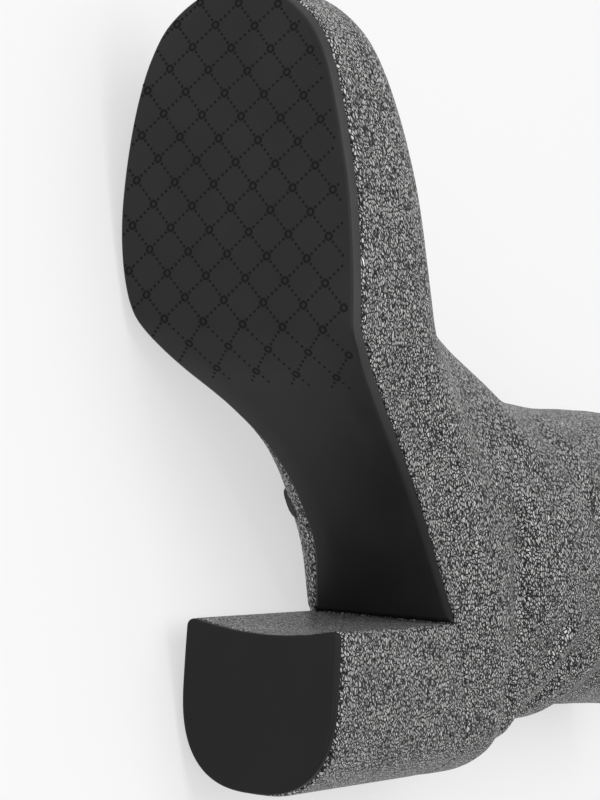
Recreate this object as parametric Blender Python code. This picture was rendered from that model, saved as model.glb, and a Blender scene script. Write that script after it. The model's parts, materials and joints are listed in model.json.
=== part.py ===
# Platform heeled boot, left foot, lying on its inner side.
#
# The boot is worked out standing on its sole: X runs from the back of the heel to the toe, Y to the
# outer side of the foot and Z up, with the floor at zero. At the end the whole boot is turned onto its
# inner side about an empty, so that the edge of the sole and the upper both rest on the floor.

import math
from collections import namedtuple

import bmesh
import bpy
from mathutils import Matrix, Vector

# Sizes of the sole

SOLE_LENGTH = 0.248
BALL_WIDTH = 0.084
TOE_SHIFT = 0.025
HEEL_WIDTH = 0.054
HEEL_DEPTH = 0.0513
BREAST_HEIGHT = 0.0735
BREAST_HOLLOW = 0.0028
CORNER_RADIUS = 0.0022
HOLLOW_START = 0.35
SEAT_RISE = 0.014
SEAT_BULGE = 0.3
PLATFORM_HEIGHT = 0.028
TOE_SPRING = 0.009
TOE_TOP_RISE = 0.0018
TREAD_BACK = 0.144
TREAD_FRONT = 0.162
OUTSOLE_THICKNESS = 0.004
OUTSOLE_WAIST = 0.0022
OUTSOLE_BEVEL = 0.0013
BEVEL_MIDDLE_INSET = 0.45
BEVEL_MIDDLE_RISE = 0.30
LIFT_THICKNESS = 0.003
LIFT_BEVEL = 0.0009
LIFT_ROUND = 0.62
LIFT_POWER = 2.55
LIFT_TAPER = 0.0008
WRAP_PROUD = 0.0008
WRAP_TURN = 0.33

# Sizes of the upper

SHAFT_RISE = 0.178
SHAFT_DEPTH = 0.104
SHAFT_WIDTH = 0.067
WALL = 0.002
HEEL_SWELL_POWER = 4
TOE_SWELL_POWER = 2
LEAST_TURN = 0.3
INSOLE_THICKNESS = 0.0025
INSOLE_CLEARANCE = 0.0012
INSOLE_LEAN = 0.0003
GAP = 0.0003

# Sizes of the zip

ZIP_WIDTH = 0.0070
ZIP_TAPE_THICKNESS = 0.0011
ZIP_FOOT = 0.0900
ZIP_HEAD = 0.0985
ZIP_FOOT_RISE = 0.004
SLIT_REACH = 0.004
SLIDER_LENGTH = 0.0105
SLIDER_WIDTH = 0.0080
SLIDER_THICKNESS = 0.0024
SLIDER_DROP = 0.006
CHEEK_LENGTH = 0.0034
CHEEK_THICKNESS = 0.0011
CHEEK_SPACE = 0.0034
CHEEK_MARGIN = 0.0006
CHEEK_SINK = 0.0004
HINGE_RISE = 0.0021
HINGE_PIN_RADIUS = 0.0006
PULL_LENGTH = 0.0190
PULL_WIDTH = 0.0052
PULL_THICKNESS = 0.0011
PULL_EYE_RADIUS = 0.0017
PULL_NECK = 0.0065
PULL_STEM_SHARE = 0.8
PULL_ROUND = 0.35
NECK_OVERLAP = 0.0008
WIDEST_SWING = 80.0

# Weights of the materials, in kilograms per cubic metre, which only place the centre of mass

DENSITY = {
    "outsole": 1150.0,
    "platform": 400.0,
    "heel_block": 700.0,
    "top_lift": 1150.0,
    "upper": 900.0,
    "insole": 700.0,
    "zip_tape": 1000.0,
    "zip_slider": 6500.0,
}

# Outline of the sole, seen from below. Both sides are measured from the foot's axis, which runs from the
# middle of the heel's back to the toe tip. along is a share of the sole's length, inner and outer are
# shares of the ball width. flare is how much further the upper's edge stands out on the inner side, where
# the outsole is cut in under the arch, again a share of the ball width.

Outline = namedtuple("Outline", "along inner outer flare")
SOLE_OUTLINE = [
    Outline(0.030, 0.232, 0.254, 0.000),
    Outline(0.108, 0.275, 0.340, 0.018),
    Outline(0.205, 0.228, 0.374, 0.045),
    Outline(0.317, 0.118, 0.393, 0.100),
    Outline(0.369, 0.112, 0.406, 0.106),
    Outline(0.418, 0.138, 0.419, 0.090),
    Outline(0.466, 0.210, 0.437, 0.050),
    Outline(0.514, 0.335, 0.461, 0.015),
    Outline(0.555, 0.428, 0.482, 0.000),
    Outline(0.600, 0.488, 0.493, 0.000),
    Outline(0.650, 0.508, 0.497, 0.000),
    Outline(0.700, 0.506, 0.495, 0.000),
    Outline(0.750, 0.490, 0.484, 0.000),
    Outline(0.800, 0.467, 0.459, 0.000),
    Outline(0.850, 0.436, 0.427, 0.000),
    Outline(0.900, 0.390, 0.384, 0.000),
    Outline(0.952, 0.299, 0.296, 0.000),
    Outline(0.980, 0.197, 0.196, 0.000),
]
HEEL_FULLNESS = 0.720
TOE_FULLNESS = 0.670

# Waist of the sole, from the back of the tread to the heel breast. back is a share of that distance,
# rise a share of the breast height, and platform the share of the platform's height that is left.

Waist = namedtuple("Waist", "back rise platform")
WAIST_LEAD = 0.12
WAIST_CURVE = [
    Waist(0.00, 0.000, 1.00),
    Waist(0.12, 0.085, 0.94),
    Waist(0.25, 0.240, 0.79),
    Waist(0.45, 0.490, 0.55),
    Waist(0.70, 0.745, 0.33),
    Waist(1.00, 1.000, 0.165),
]

# Sections of the upper, from the feather line to the collar. back_in is how far the back of the section
# stands in front of the heel's back, a share of the shaft's depth, and back_up its height over the seat,
# a share of the shaft's rise. front_x and front_up do the same for the front, as shares of the sole's
# length and of the collar's height over the footbed there. front_y is a share of the toe's shift. inner
# and outer are half widths, shares of the shaft's width. heel, inner_toe and outer_toe fill out the two
# ends, form blends from the sole's outline, 0, to the section's own oval, 1, and follow is how closely
# the section keeps to the footbed's curve.

Section = namedtuple(
    "Section", "back_in back_up front_x front_up front_y inner outer heel inner_toe outer_toe form follow"
)
UPPER_SECTIONS = [
    Section(-0.006, 0.000, 1.0032, 0.000, 1.000, 0.39, 0.56, 0.65, 1.00, 0.38, 0.00, 1.00),
    Section(-0.008, 0.045, 1.0010, 0.038, 1.000, 0.39, 0.56, 0.65, 1.00, 0.36, 0.15, 1.00),
    Section(-0.008, 0.095, 0.9850, 0.068, 0.990, 0.39, 0.56, 0.60, 0.98, 0.33, 0.40, 1.00),
    Section(0.000, 0.146, 0.9450, 0.093, 0.970, 0.39, 0.55, 0.54, 0.92, 0.25, 0.62, 1.00),
    Section(0.034, 0.191, 0.8790, 0.120, 0.920, 0.39, 0.54, 0.46, 0.80, 0.12, 0.80, 0.98),
    Section(0.075, 0.236, 0.7750, 0.151, 0.840, 0.39, 0.53, 0.38, 0.60, 0.02, 0.92, 0.92),
    Section(0.110, 0.287, 0.6800, 0.197, 0.730, 0.395, 0.53, 0.30, 0.40, 0.00, 1.00, 0.80),
    Section(0.121, 0.343, 0.6080, 0.270, 0.580, 0.40, 0.54, 0.22, 0.28, 0.00, 1.00, 0.62),
    Section(0.146, 0.410, 0.5560, 0.345, 0.420, 0.42, 0.54, 0.16, 0.18, 0.02, 1.00, 0.42),
    Section(0.158, 0.478, 0.5180, 0.408, 0.290, 0.445, 0.525, 0.10, 0.12, 0.04, 1.00, 0.24),
    Section(0.163, 0.562, 0.4930, 0.500, 0.190, 0.46, 0.515, 0.08, 0.08, 0.06, 1.00, 0.10),
    Section(0.160, 0.663, 0.4860, 0.620, 0.120, 0.475, 0.51, 0.06, 0.06, 0.06, 1.00, 0.00),
    Section(0.147, 0.803, 0.4850, 0.780, 0.090, 0.485, 0.505, 0.06, 0.06, 0.06, 1.00, 0.00),
    Section(0.133, 1.000, 0.4780, 1.000, 0.070, 0.49, 0.505, 0.06, 0.06, 0.06, 1.00, 0.00),
]

# The wrapped wall of the platform. up is a share of its height, proud a share of what the wrap stands
# out past the outsole, and spread a share of the upper's flare.

PlatformWall = namedtuple("PlatformWall", "up proud spread")
PLATFORM_WALL = [
    PlatformWall(0.00, 0.0, 0.15),
    PlatformWall(0.15, 1.0, 0.35),
    PlatformWall(0.60, 1.0, 0.75),
    PlatformWall(1.00, 1.0, 1.00),
]

# Heights of the heel block's rings, shares of its height. The wrap is at its full thickness from the
# second one up.

BLOCK_LEVELS = [0.0, 0.03, 0.25, 0.5, 0.75, 1.0]

# How finely the curved pieces are cut into facets

SECTION_STEPS = 27
AROUND_HALF = 26
SOLE_STEPS = 46
SEAT_STEPS = 14
ACROSS = 4
ZIP_STEPS = 30
CORNER_STEPS = 3
ROD_SEGMENTS = 16
LEVEL_STEP = 0.05
PROBE = 0.001

OUTER_SIDE = 1
INNER_SIDE = -1


# Helpers for curves

def smooth_slopes(knots, values):
    """Slopes of a curve that never overshoots its knots."""
    steps = [(b - a) / (q - p) for a, b, p, q in zip(values, values[1:], knots, knots[1:])]
    slopes = [steps[0]]
    for before, after, left, mid, right in zip(steps, steps[1:], knots, knots[1:], knots[2:]):
        if before * after <= 0.0:
            slopes.append(0.0)
            continue
        near = 2 * (right - mid) + (mid - left)
        far = (right - mid) + 2 * (mid - left)
        slopes.append((near + far) / (near / before + far / after))
    slopes.append(steps[-1])
    return slopes


def smooth_curve(knots, values):
    """A function through the knots, smooth and without overshoot, level outside them."""
    slopes = smooth_slopes(knots, values)

    def value_at(place):
        if place <= knots[0]:
            return values[0]
        if place >= knots[-1]:
            return values[-1]
        index = max(i for i in range(len(knots) - 1) if knots[i] <= place)
        width = knots[index + 1] - knots[index]
        share = (place - knots[index]) / width
        bend = share * share * (3 - 2 * share)
        lean_in = share * (1 - share) ** 2 * slopes[index]
        lean_out = share * share * (share - 1) * slopes[index + 1]
        return values[index] * (1 - bend) + values[index + 1] * bend + width * (lean_in + lean_out)

    return value_at


def turn_of(share):
    """The angle round an oval at which its length has been run to this share."""
    return math.acos(max(-1.0, min(1.0, 1 - 2 * share)))


def mix(first, second, share):
    return first * (1 - share) + second * share


# The sole's curves

def side_fullness(column):
    """Half width over the sine of the turn, which stays smooth at the rounded heel and toe."""
    turns = [0.0] + [turn_of(row.along) for row in SOLE_OUTLINE] + [math.pi]
    inside = [getattr(row, column) / math.sin(turn_of(row.along)) for row in SOLE_OUTLINE]
    return smooth_curve(turns, [HEEL_FULLNESS] + inside + [TOE_FULLNESS])


FULLNESS = {INNER_SIDE: side_fullness("inner"), OUTER_SIDE: side_fullness("outer")}


FLARE = smooth_curve([row.along for row in SOLE_OUTLINE], [row.flare for row in SOLE_OUTLINE])


def axis_y(x):
    return -TOE_SHIFT * x / SOLE_LENGTH


def flare(x, side):
    """How far the upper's edge stands out past the outsole's on this side."""
    return BALL_WIDTH * FLARE(x / SOLE_LENGTH) if side == INNER_SIDE else 0.0


def no_flare(x, side):
    return 0.0


def sole_edge(x, side):
    """Y of the outsole's edge at this distance from the heel's back."""
    turn = turn_of(x / SOLE_LENGTH)
    return axis_y(x) + side * BALL_WIDTH * FULLNESS[side](turn) * math.sin(turn)


WAIST_BACKS = [row.back for row in WAIST_CURVE]
WAIST_RISE = smooth_curve([-WAIST_LEAD] + WAIST_BACKS, [0.0] + [row.rise for row in WAIST_CURVE])
WAIST_PLATFORM = smooth_curve([-WAIST_LEAD] + WAIST_BACKS, [1.0] + [row.platform for row in WAIST_CURVE])


def waist_share(x):
    return (TREAD_BACK - x) / (TREAD_BACK - HEEL_DEPTH)


def tread_z(x):
    """Height of the sole's underside over the floor."""
    if x > TREAD_FRONT:
        return TOE_SPRING * ((x - TREAD_FRONT) / (SOLE_LENGTH - TREAD_FRONT)) ** 2
    return BREAST_HEIGHT * WAIST_RISE(waist_share(x))


def slant(curve, x):
    """How much longer a thickness is straight up than square to the curve."""
    slope = (curve(x + PROBE / 2) - curve(x - PROBE / 2)) / PROBE
    return math.sqrt(1 + slope * slope)


def outsole_thickness(x):
    share = min(1.0, max(0.0, waist_share(x)))
    return mix(OUTSOLE_THICKNESS, OUTSOLE_WAIST, share) * slant(tread_z, x)


def feather_z(x):
    """Height of the footbed, where the upper meets the platform and the heel."""
    if x > TREAD_FRONT:
        return PLATFORM_HEIGHT + TOE_TOP_RISE * tread_z(x) / TOE_SPRING
    if x >= HEEL_DEPTH:
        return tread_z(x) + PLATFORM_HEIGHT * WAIST_PLATFORM(waist_share(x))
    breast = BREAST_HEIGHT + PLATFORM_HEIGHT * WAIST_CURVE[-1].platform
    back = 1 - x / HEEL_DEPTH
    return breast + SEAT_RISE * ((1 + SEAT_BULGE) * back - SEAT_BULGE * back * back)


# Building closed meshes

def add_object(name, vertices, faces, material, smooth_angle=35.0):
    mesh = bpy.data.meshes.new(name)
    mesh.from_pydata([tuple(v) for v in vertices], [], faces)
    bm = bmesh.new()
    bm.from_mesh(mesh)
    bmesh.ops.remove_doubles(bm, verts=bm.verts, dist=1e-6)
    bmesh.ops.recalc_face_normals(bm, faces=bm.faces)
    bm.to_mesh(mesh)
    bm.free()
    mesh.shade_smooth()
    mesh.set_sharp_from_angle(angle=math.radians(smooth_angle))
    mesh.materials.append(material)
    thing = bpy.data.objects.new(name, mesh)
    bpy.context.scene.collection.objects.link(thing)
    return thing


def add_material(name, colour, roughness, metallic=0.0):
    material = bpy.data.materials.new(name)
    material.use_nodes = True
    shader = material.node_tree.nodes["Principled BSDF"]
    shader.inputs["Base Color"].default_value = (*colour, 1.0)
    shader.inputs["Roughness"].default_value = roughness
    shader.inputs["Metallic"].default_value = metallic
    return material


def shifted_inward(rim, inset):
    """The closed rim moved inward by the inset, square to itself."""
    moved = []
    for index, point in enumerate(rim):
        before = rim[index - 1]
        after = rim[(index + 1) % len(rim)]
        along = Vector((after[0] - before[0], after[1] - before[1])).normalized()
        moved.append((point[0] - along.y * inset, point[1] + along.x * inset))
    return moved


def wall_faces(low, high, rim):
    """The faces between two rings that hold the same places of a rim."""
    faces = []
    for index, here in enumerate(rim):
        there = rim[(index + 1) % len(rim)]
        faces.append((low[here], low[there], high[there], high[here]))
    return faces


def cap_faces(grid, row_count):
    """The faces of a top or an underside, with triangles where its rows run into a tip."""
    faces = []
    for i in range(row_count - 1):
        for step in range(ACROSS):
            corners = [grid[(i, step)], grid[(i, step + 1)], grid[(i + 1, step + 1)], grid[(i + 1, step)]]
            unique = list(dict.fromkeys(corners))
            if len(unique) > 2:
                faces.append(tuple(unique))
    return faces


def stacked_plate(name, rows, levels, material, hollow=None):
    """A solid between an underside and a top, with a wall that steps through the levels.

    rows holds (x, inner y, outer y) from back to front, and a row whose two sides meet is a tip. Each
    level is an inset, a height over x and what the two sides stand out. hollow bends the front in.
    """
    hollow = hollow or (lambda x, across: 0.0)
    front_open = rows[-1][1] != rows[-1][2]
    back_open = rows[0][1] != rows[0][2]
    shares = [step / ACROSS for step in range(ACROSS + 1)]

    def placed(row, across, spread):
        tip = row[1] == row[2]
        inner = row[1] - (0.0 if tip else spread(row[0], INNER_SIDE))
        outer = row[2] + (0.0 if tip else spread(row[0], OUTER_SIDE))
        return (row[0] - hollow(row[0], 2 * across - 1), mix(inner, outer, across))

    rim_keys = []
    if back_open:
        rim_keys += [(0, step) for step in range(ACROSS, 0, -1)]
    rim_keys += [(i, 0) for i in range(len(rows))]
    if front_open:
        rim_keys += [(len(rows) - 1, step) for step in range(1, ACROSS)]
        rim_keys.append((len(rows) - 1, ACROSS))
    rim_keys += [(i, ACROSS) for i in range(len(rows) - 2, 0, -1)]
    vertices = []
    faces = []
    level_keys = []
    for inset, height, spread in levels:
        start = len(vertices)
        rim = [placed(rows[i], shares[step], spread) for i, step in rim_keys]
        moved = shifted_inward(rim, inset)
        vertices += [(x, y, height(x)) for x, y in moved]
        level_keys.append({key: start + index for index, key in enumerate(rim_keys)})
    for low, high in zip(level_keys, level_keys[1:]):
        faces += wall_faces(low, high, rim_keys)

    for keys, height in ((level_keys[0], levels[0][1]), (level_keys[-1], levels[-1][1])):
        grid = dict(keys)
        for i, row in enumerate(rows):
            if row[1] == row[2]:
                for step in range(ACROSS + 1):
                    grid[(i, step)] = keys[(i, 0)]
                continue
            inner = Vector(vertices[grid[(i, 0)]])
            outer = Vector(vertices[grid[(i, ACROSS)]])
            for step in range(1, ACROSS):
                if (i, step) in grid:
                    continue
                bend = hollow(row[0], 2 * shares[step] - 1)
                x = mix(inner.x, outer.x, shares[step]) - bend
                grid[(i, step)] = len(vertices)
                vertices.append((x, mix(inner.y, outer.y, shares[step]), height(x)))
        faces += cap_faces(grid, len(rows))
    return add_object(name, vertices, faces, material)


def sole_rows(start, stop, steps):
    """Rows of the sole's outline from one distance to another, closer together near a rounded end."""
    first = turn_of(start / SOLE_LENGTH)
    last = turn_of(stop / SOLE_LENGTH)
    rows = []
    for step in range(steps + 1):
        turn = mix(first, last, step / steps)
        x = SOLE_LENGTH * (1 - math.cos(turn)) / 2
        rows.append((x, sole_edge(x, INNER_SIDE), sole_edge(x, OUTER_SIDE)))
    if start == 0.0:
        rows[0] = (0.0, 0.0, 0.0)
    if stop == SOLE_LENGTH:
        rows[-1] = (SOLE_LENGTH, axis_y(SOLE_LENGTH), axis_y(SOLE_LENGTH))
    return rows


# The sole's pieces

def bevel_middle_z(x):
    return tread_z(x) + BEVEL_MIDDLE_RISE * outsole_thickness(x)


def build_outsole(material):
    rows = sole_rows(HEEL_DEPTH + GAP, SOLE_LENGTH, SOLE_STEPS)
    levels = [
        (OUTSOLE_BEVEL, tread_z, no_flare),
        (BEVEL_MIDDLE_INSET * OUTSOLE_BEVEL, bevel_middle_z, no_flare),
        (0.0, lambda x: tread_z(x) + outsole_thickness(x), no_flare),
    ]
    return stacked_plate("outsole", rows, levels, material)


def platform_foot_z(x):
    return tread_z(x) + outsole_thickness(x) + GAP


def build_platform(material):
    rows = sole_rows(HEEL_DEPTH + GAP + WRAP_PROUD, SOLE_LENGTH, SOLE_STEPS)
    levels = []
    for wall in PLATFORM_WALL:

        def height(x, wall=wall):
            return mix(platform_foot_z(x), feather_z(x), wall.up)

        def spread(x, side, wall=wall):
            return wall.spread * flare(x, side)

        levels.append((-WRAP_PROUD * wall.proud, height, spread))
    return stacked_plate("platform", rows, levels, material)


def heel_shares():
    """Stations of the heel from its back to its breast, closer at the round back and at the corners."""
    round_back = [1 - math.cos(math.pi / 2 * step / SEAT_STEPS) for step in range(SEAT_STEPS + 1)]
    flat_to = HEEL_DEPTH - CORNER_RADIUS
    xs = [flat_to * share for share in round_back]
    for step in range(1, CORNER_STEPS + 1):
        xs.append(flat_to + CORNER_RADIUS * math.sin(math.pi / 2 * step / CORNER_STEPS))
    return xs


def corner_tuck(x):
    """How far the upright front corners are rounded in."""
    past = max(0.0, x - (HEEL_DEPTH - CORNER_RADIUS)) / CORNER_RADIUS
    return CORNER_RADIUS * (1 - math.sqrt(max(0.0, 1 - past * past)))


def lift_edge(x, side):
    """The D of the top lift: a full round back and nearly straight sides."""
    round_depth = LIFT_ROUND * HEEL_DEPTH
    back = max(0.0, 1 - x / round_depth)
    half = HEEL_WIDTH / 2 * max(0.0, 1 - back ** LIFT_POWER) ** (1 / LIFT_POWER)
    taper = LIFT_TAPER * max(0.0, x / round_depth - 1) ** 2
    return side * (half - taper - corner_tuck(x))


def heel_hollow(x, across):
    """The lift's front edge is hollowed between its corners, and the breast less and less above it."""
    depth = max(0.0, (x / HEEL_DEPTH - HOLLOW_START) / (1 - HOLLOW_START))
    return BREAST_HOLLOW * depth ** 2 * (1 - across * across)


def build_top_lift(material):
    rows = [(x, lift_edge(x, INNER_SIDE), lift_edge(x, OUTER_SIDE)) for x in heel_shares()]
    rows[0] = (0.0, 0.0, 0.0)
    levels = [
        (LIFT_BEVEL, lambda x: 0.0, no_flare),
        (0.0, lambda x: LIFT_BEVEL, no_flare),
        (0.0, lambda x: LIFT_THICKNESS, no_flare),
    ]
    return stacked_plate("top_lift", rows, levels, material, heel_hollow)


def wrap_turn(x):
    """The wrap stands out backward at the heel's back and turns sideways over its first part."""
    return math.pi / 2 * min(1.0, x / (WRAP_TURN * HEEL_DEPTH))


def block_proud(share):
    return WRAP_PROUD * min(1.0, share / BLOCK_LEVELS[1])


def block_side(x, share, side):
    """Y of the block's side, between the lift's D below and the heel seat's outline above."""
    seat = sole_edge(x, side) + side * (flare(x, side) - corner_tuck(x))
    return mix(lift_edge(x, side), seat, share) + side * block_proud(share) * math.sin(wrap_turn(x))


def build_heel_block(material):
    """The wrapped block grows from the lift's D to the outline of the heel seat."""
    xs = heel_shares()
    foot = LIFT_THICKNESS + GAP
    last = len(xs) - 1
    rim = [(i, 0) for i in range(last + 1)]
    rim += [(last, step) for step in range(1, ACROSS + 1)]
    rim += [(i, ACROSS) for i in range(last - 1, 0, -1)]
    vertices = []
    grids = []
    for share in BLOCK_LEVELS:
        whole = share in (BLOCK_LEVELS[0], BLOCK_LEVELS[-1])
        grid = {}
        for i, x in enumerate(xs):
            for step in range(ACROSS + 1):
                if i == 0 and step > 0:
                    grid[(i, step)] = grid[(0, 0)]
                    continue
                if (i, step) not in rim and not whole:
                    continue
                across = step / ACROSS
                hollow = heel_hollow(x, 2 * across - 1) * (1 - share)
                place = x - hollow - block_proud(share) * math.cos(wrap_turn(x))
                inner = block_side(x, share, INNER_SIDE)
                outer = block_side(x, share, OUTER_SIDE)
                y = mix(inner, outer, across) if i else 0.0
                grid[(i, step)] = len(vertices)
                vertices.append((place, y, mix(foot, feather_z(max(0.0, place)), share)))
        grids.append(grid)
    faces = []
    for low, high in zip(grids, grids[1:]):
        faces += wall_faces(low, high, rim)
    faces += cap_faces(grids[0], len(xs)) + cap_faces(grids[-1], len(xs))
    return add_object("heel_block", vertices, faces, material)


# The upper's surface

SECTION_CURVES = {
    column: smooth_curve(list(range(len(UPPER_SECTIONS))), [getattr(row, column) for row in UPPER_SECTIONS])
    for column in Section._fields
}
LAST_SECTION = len(UPPER_SECTIONS) - 1
COLLAR_Z = feather_z(0.0) + SHAFT_RISE


def section_ends(level):
    """Back and front of the section at this level, and how much it keeps of the sole's outline."""
    value = {column: curve(level) for column, curve in SECTION_CURVES.items()}
    back = Vector((SHAFT_DEPTH * value["back_in"], 0.0, 0.0))
    back.z = feather_z(0.0) + SHAFT_RISE * value["back_up"]
    front = Vector((SOLE_LENGTH * value["front_x"], -TOE_SHIFT * value["front_y"], 0.0))
    bed = feather_z(front.x)
    front.z = bed + (COLLAR_Z - bed) * value["front_up"]
    return back, front, value


def upper_point(level, share, side):
    """A point of the upper's outer face: its section's level, the share of its length, and the side."""
    back, front, value = section_ends(level)
    turn = turn_of(share)
    x = mix(back.x, front.x, share)
    bed_x = min(SOLE_LENGTH, max(0.0, x))
    bed_turn = turn_of(bed_x / SOLE_LENGTH)
    stand_out = WRAP_PROUD + flare(bed_x, side) / max(LEAST_TURN, math.sin(bed_turn))
    outline = BALL_WIDTH * FULLNESS[side](bed_turn) + stand_out
    name = "inner" if side == INNER_SIDE else "outer"
    heel_swell = value["heel"] * (1 - share) ** HEEL_SWELL_POWER
    swell = 1 + heel_swell + value[name + "_toe"] * share ** TOE_SWELL_POWER
    own = SHAFT_WIDTH * value[name] * swell
    fullness = mix(outline, own, value["form"])
    y = mix(back.y, front.y, share) + side * fullness * math.sin(turn)
    chord = mix(back.z, front.z, share)
    bed_chord = mix(feather_z(max(0.0, back.x)), feather_z(front.x), share)
    sag = feather_z(bed_x) - bed_chord
    return Vector((x, y, chord + sag * value["follow"]))


def around_shares():
    """Shares of the length, back to front on the inner side and back again on the outer side."""
    places = []
    for step in range(AROUND_HALF + 1):
        places.append(((1 - math.cos(math.pi * step / AROUND_HALF)) / 2, INNER_SIDE))
    for step in range(AROUND_HALF - 1, 0, -1):
        places.append(((1 - math.cos(math.pi * step / AROUND_HALF)) / 2, OUTER_SIDE))
    return places


def section_levels():
    return [LAST_SECTION * step / SECTION_STEPS for step in range(SECTION_STEPS + 1)]


def build_upper(material):
    places = around_shares()
    levels = section_levels()
    outer = [[upper_point(level, share, side) for share, side in places] for level in levels]
    for point in outer[0]:
        point.z = feather_z(min(SOLE_LENGTH, max(0.0, point.x))) + GAP
    count = len(places)
    inner = []
    for k, ring in enumerate(outer):
        below = outer[max(0, k - 1)]
        above = outer[min(len(outer) - 1, k + 1)]
        row = []
        for m in range(count):
            around = ring[(m + 1) % count] - ring[m - 1]
            up = above[m] - below[m]
            inward = up.cross(around).normalized()
            if k == 0:
                inward.z = 0.0
                inward.normalize()
            row.append(ring[m] + inward * WALL)
        inner.append(row)
    for point in inner[0]:
        point.z = feather_z(min(SOLE_LENGTH, max(0.0, point.x))) + GAP
    for point, rim in zip(inner[-1], outer[-1]):
        point.z = rim.z
    vertices = [p for ring in outer for p in ring] + [p for ring in inner for p in ring]
    rings = len(levels)
    faces = []

    def at(layer, k, m):
        return (layer * rings + k) * count + m % count

    for layer in (0, 1):
        for k in range(rings - 1):
            for m in range(count):
                low = (at(layer, k, m), at(layer, k, m + 1))
                faces.append((*low, at(layer, k + 1, m + 1), at(layer, k + 1, m)))
    for k in (0, rings - 1):
        for m in range(count):
            faces.append((at(0, k, m), at(0, k, m + 1), at(1, k, m + 1), at(1, k, m)))
    return add_object("upper", vertices, faces, material)


def build_insole(material):
    """The footbed lies inside the upper, on the platform and on the heel."""
    rows = sole_rows(0.0, SOLE_LENGTH, SOLE_STEPS + 6)
    clear = WALL + GAP - WRAP_PROUD + INSOLE_CLEARANCE
    levels = [
        (clear, lambda x: feather_z(x) + 2 * GAP, flare),
        (clear + INSOLE_LEAN, lambda x: feather_z(x) + 2 * GAP + INSOLE_THICKNESS, flare),
    ]
    return stacked_plate("insole", rows, levels, material)


# The zip on the inner side

def zip_x(level):
    start = zip_foot_level()
    share = (level - start) / (LAST_SECTION - start)
    return mix(ZIP_FOOT, ZIP_HEAD, share)


def zip_foot_level():
    """The level where the zip ends above the feather line."""
    level = 0.0
    while level < LAST_SECTION:
        if inner_point(level, ZIP_FOOT).z - feather_z(ZIP_FOOT) >= ZIP_FOOT_RISE:
            return level
        level += LEVEL_STEP
    return 1.0


def inner_point(level, x):
    """The point of the inner side at this level and distance from the heel's back."""
    back, front, _ = section_ends(level)
    return upper_point(level, (x - back.x) / (front.x - back.x), INNER_SIDE)


def zip_frame(level, x):
    """A point of the inner side with its outward normal and its upward direction."""
    middle = inner_point(level, x)
    along = inner_point(level, x + PROBE) - inner_point(level, x - PROBE)
    up = inner_point(min(LAST_SECTION, level + LEVEL_STEP), x) - inner_point(level - LEVEL_STEP, x)
    out = along.cross(up).normalized()
    if out.y > 0:
        out = -out
    return middle, out, up.normalized()


def zip_strip(name, half, depth_out, depth_in, foot_extra, head_extra, material):
    """A strip along the zip, between two depths under the upper's face."""
    start = zip_foot_level()
    shares = (-1.0, 0.0, 1.0)
    stations = []
    for step in range(ZIP_STEPS + 1):
        level = mix(start, LAST_SECTION, step / ZIP_STEPS)
        lift = -foot_extra if step == 0 else (head_extra if step == ZIP_STEPS else 0.0)
        stations.append((level, lift))
    vertices = []
    for level, lift in stations:
        for depth in (depth_out, depth_in):
            for share in shares:
                middle, out, up = zip_frame(level, zip_x(level) + share * half)
                vertices.append(middle - out * depth + up * lift)
    faces = []
    ring = [0, 1, 2, 5, 4, 3]
    width = len(ring)
    for step in range(ZIP_STEPS):
        low = step * width
        high = low + width
        for a, b in zip(ring, ring[1:] + ring[:1]):
            faces.append((low + a, low + b, high + b, high + a))
    top = ZIP_STEPS * width
    for base in (0, top):
        faces.append((base, base + 1, base + 4, base + 3))
        faces.append((base + 1, base + 2, base + 5, base + 4))
    return add_object(name, vertices, faces, material)


def cut_zip_slit(upper, material):
    half = ZIP_WIDTH / 2 + GAP
    cutter = zip_strip("zip_slit", half, -SLIT_REACH, WALL + SLIT_REACH, GAP, SLIT_REACH, material)
    cutter.hide_render = True
    cutter.display_type = "WIRE"
    slit = upper.modifiers.new("zip_slit", "BOOLEAN")
    slit.operation = "DIFFERENCE"
    slit.solver = "EXACT"
    slit.object = cutter
    return cutter


def slider_frame():
    """The slider's middle on the zip's face, with its directions: along, out and up."""
    level = LAST_SECTION
    while inner_point(level, zip_x(level)).z > COLLAR_Z - SLIDER_DROP - SLIDER_LENGTH / 2:
        level -= LEVEL_STEP / 4
    middle, out, up = zip_frame(level, zip_x(level))
    along = up.cross(out).normalized()
    up = out.cross(along).normalized()
    return middle, along, out, up


def oriented_box(bm, centre, size, axes):
    matrix = Matrix.Identity(4)
    for column, (axis, length) in enumerate(zip(axes, size)):
        for row in range(3):
            matrix[row][column] = axis[row] * length
    matrix.translation = centre
    bmesh.ops.create_cube(bm, size=1.0, matrix=matrix)


def oriented_rod(bm, centre, radius, length, axis, up):
    side = axis.cross(up).normalized()
    matrix = Matrix((
        (side.x, up.x, axis.x, centre.x),
        (side.y, up.y, axis.y, centre.y),
        (side.z, up.z, axis.z, centre.z),
        (0.0, 0.0, 0.0, 1.0),
    ))
    bmesh.ops.create_cone(
        bm, cap_ends=True, segments=ROD_SEGMENTS, radius1=radius, radius2=radius, depth=length, matrix=matrix
    )


def tool_object(name, fill):
    """A hidden helper shape for a Boolean."""
    bm = bmesh.new()
    fill(bm)
    bmesh.ops.recalc_face_normals(bm, faces=bm.faces)
    mesh = bpy.data.meshes.new(name)
    bm.to_mesh(mesh)
    bm.free()
    thing = bpy.data.objects.new(name, mesh)
    bpy.context.scene.collection.objects.link(thing)
    thing.hide_render = True
    thing.display_type = "WIRE"
    return thing


def join_with(target, helper, operation):
    change = target.modifiers.new(helper.name, "BOOLEAN")
    change.operation = operation
    change.solver = "EXACT"
    change.object = helper


def hinge_centre(frame):
    middle, _, out, up = frame
    return middle + out * (SLIDER_THICKNESS + HINGE_RISE) - up * (SLIDER_LENGTH / 2 - CHEEK_LENGTH)


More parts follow.
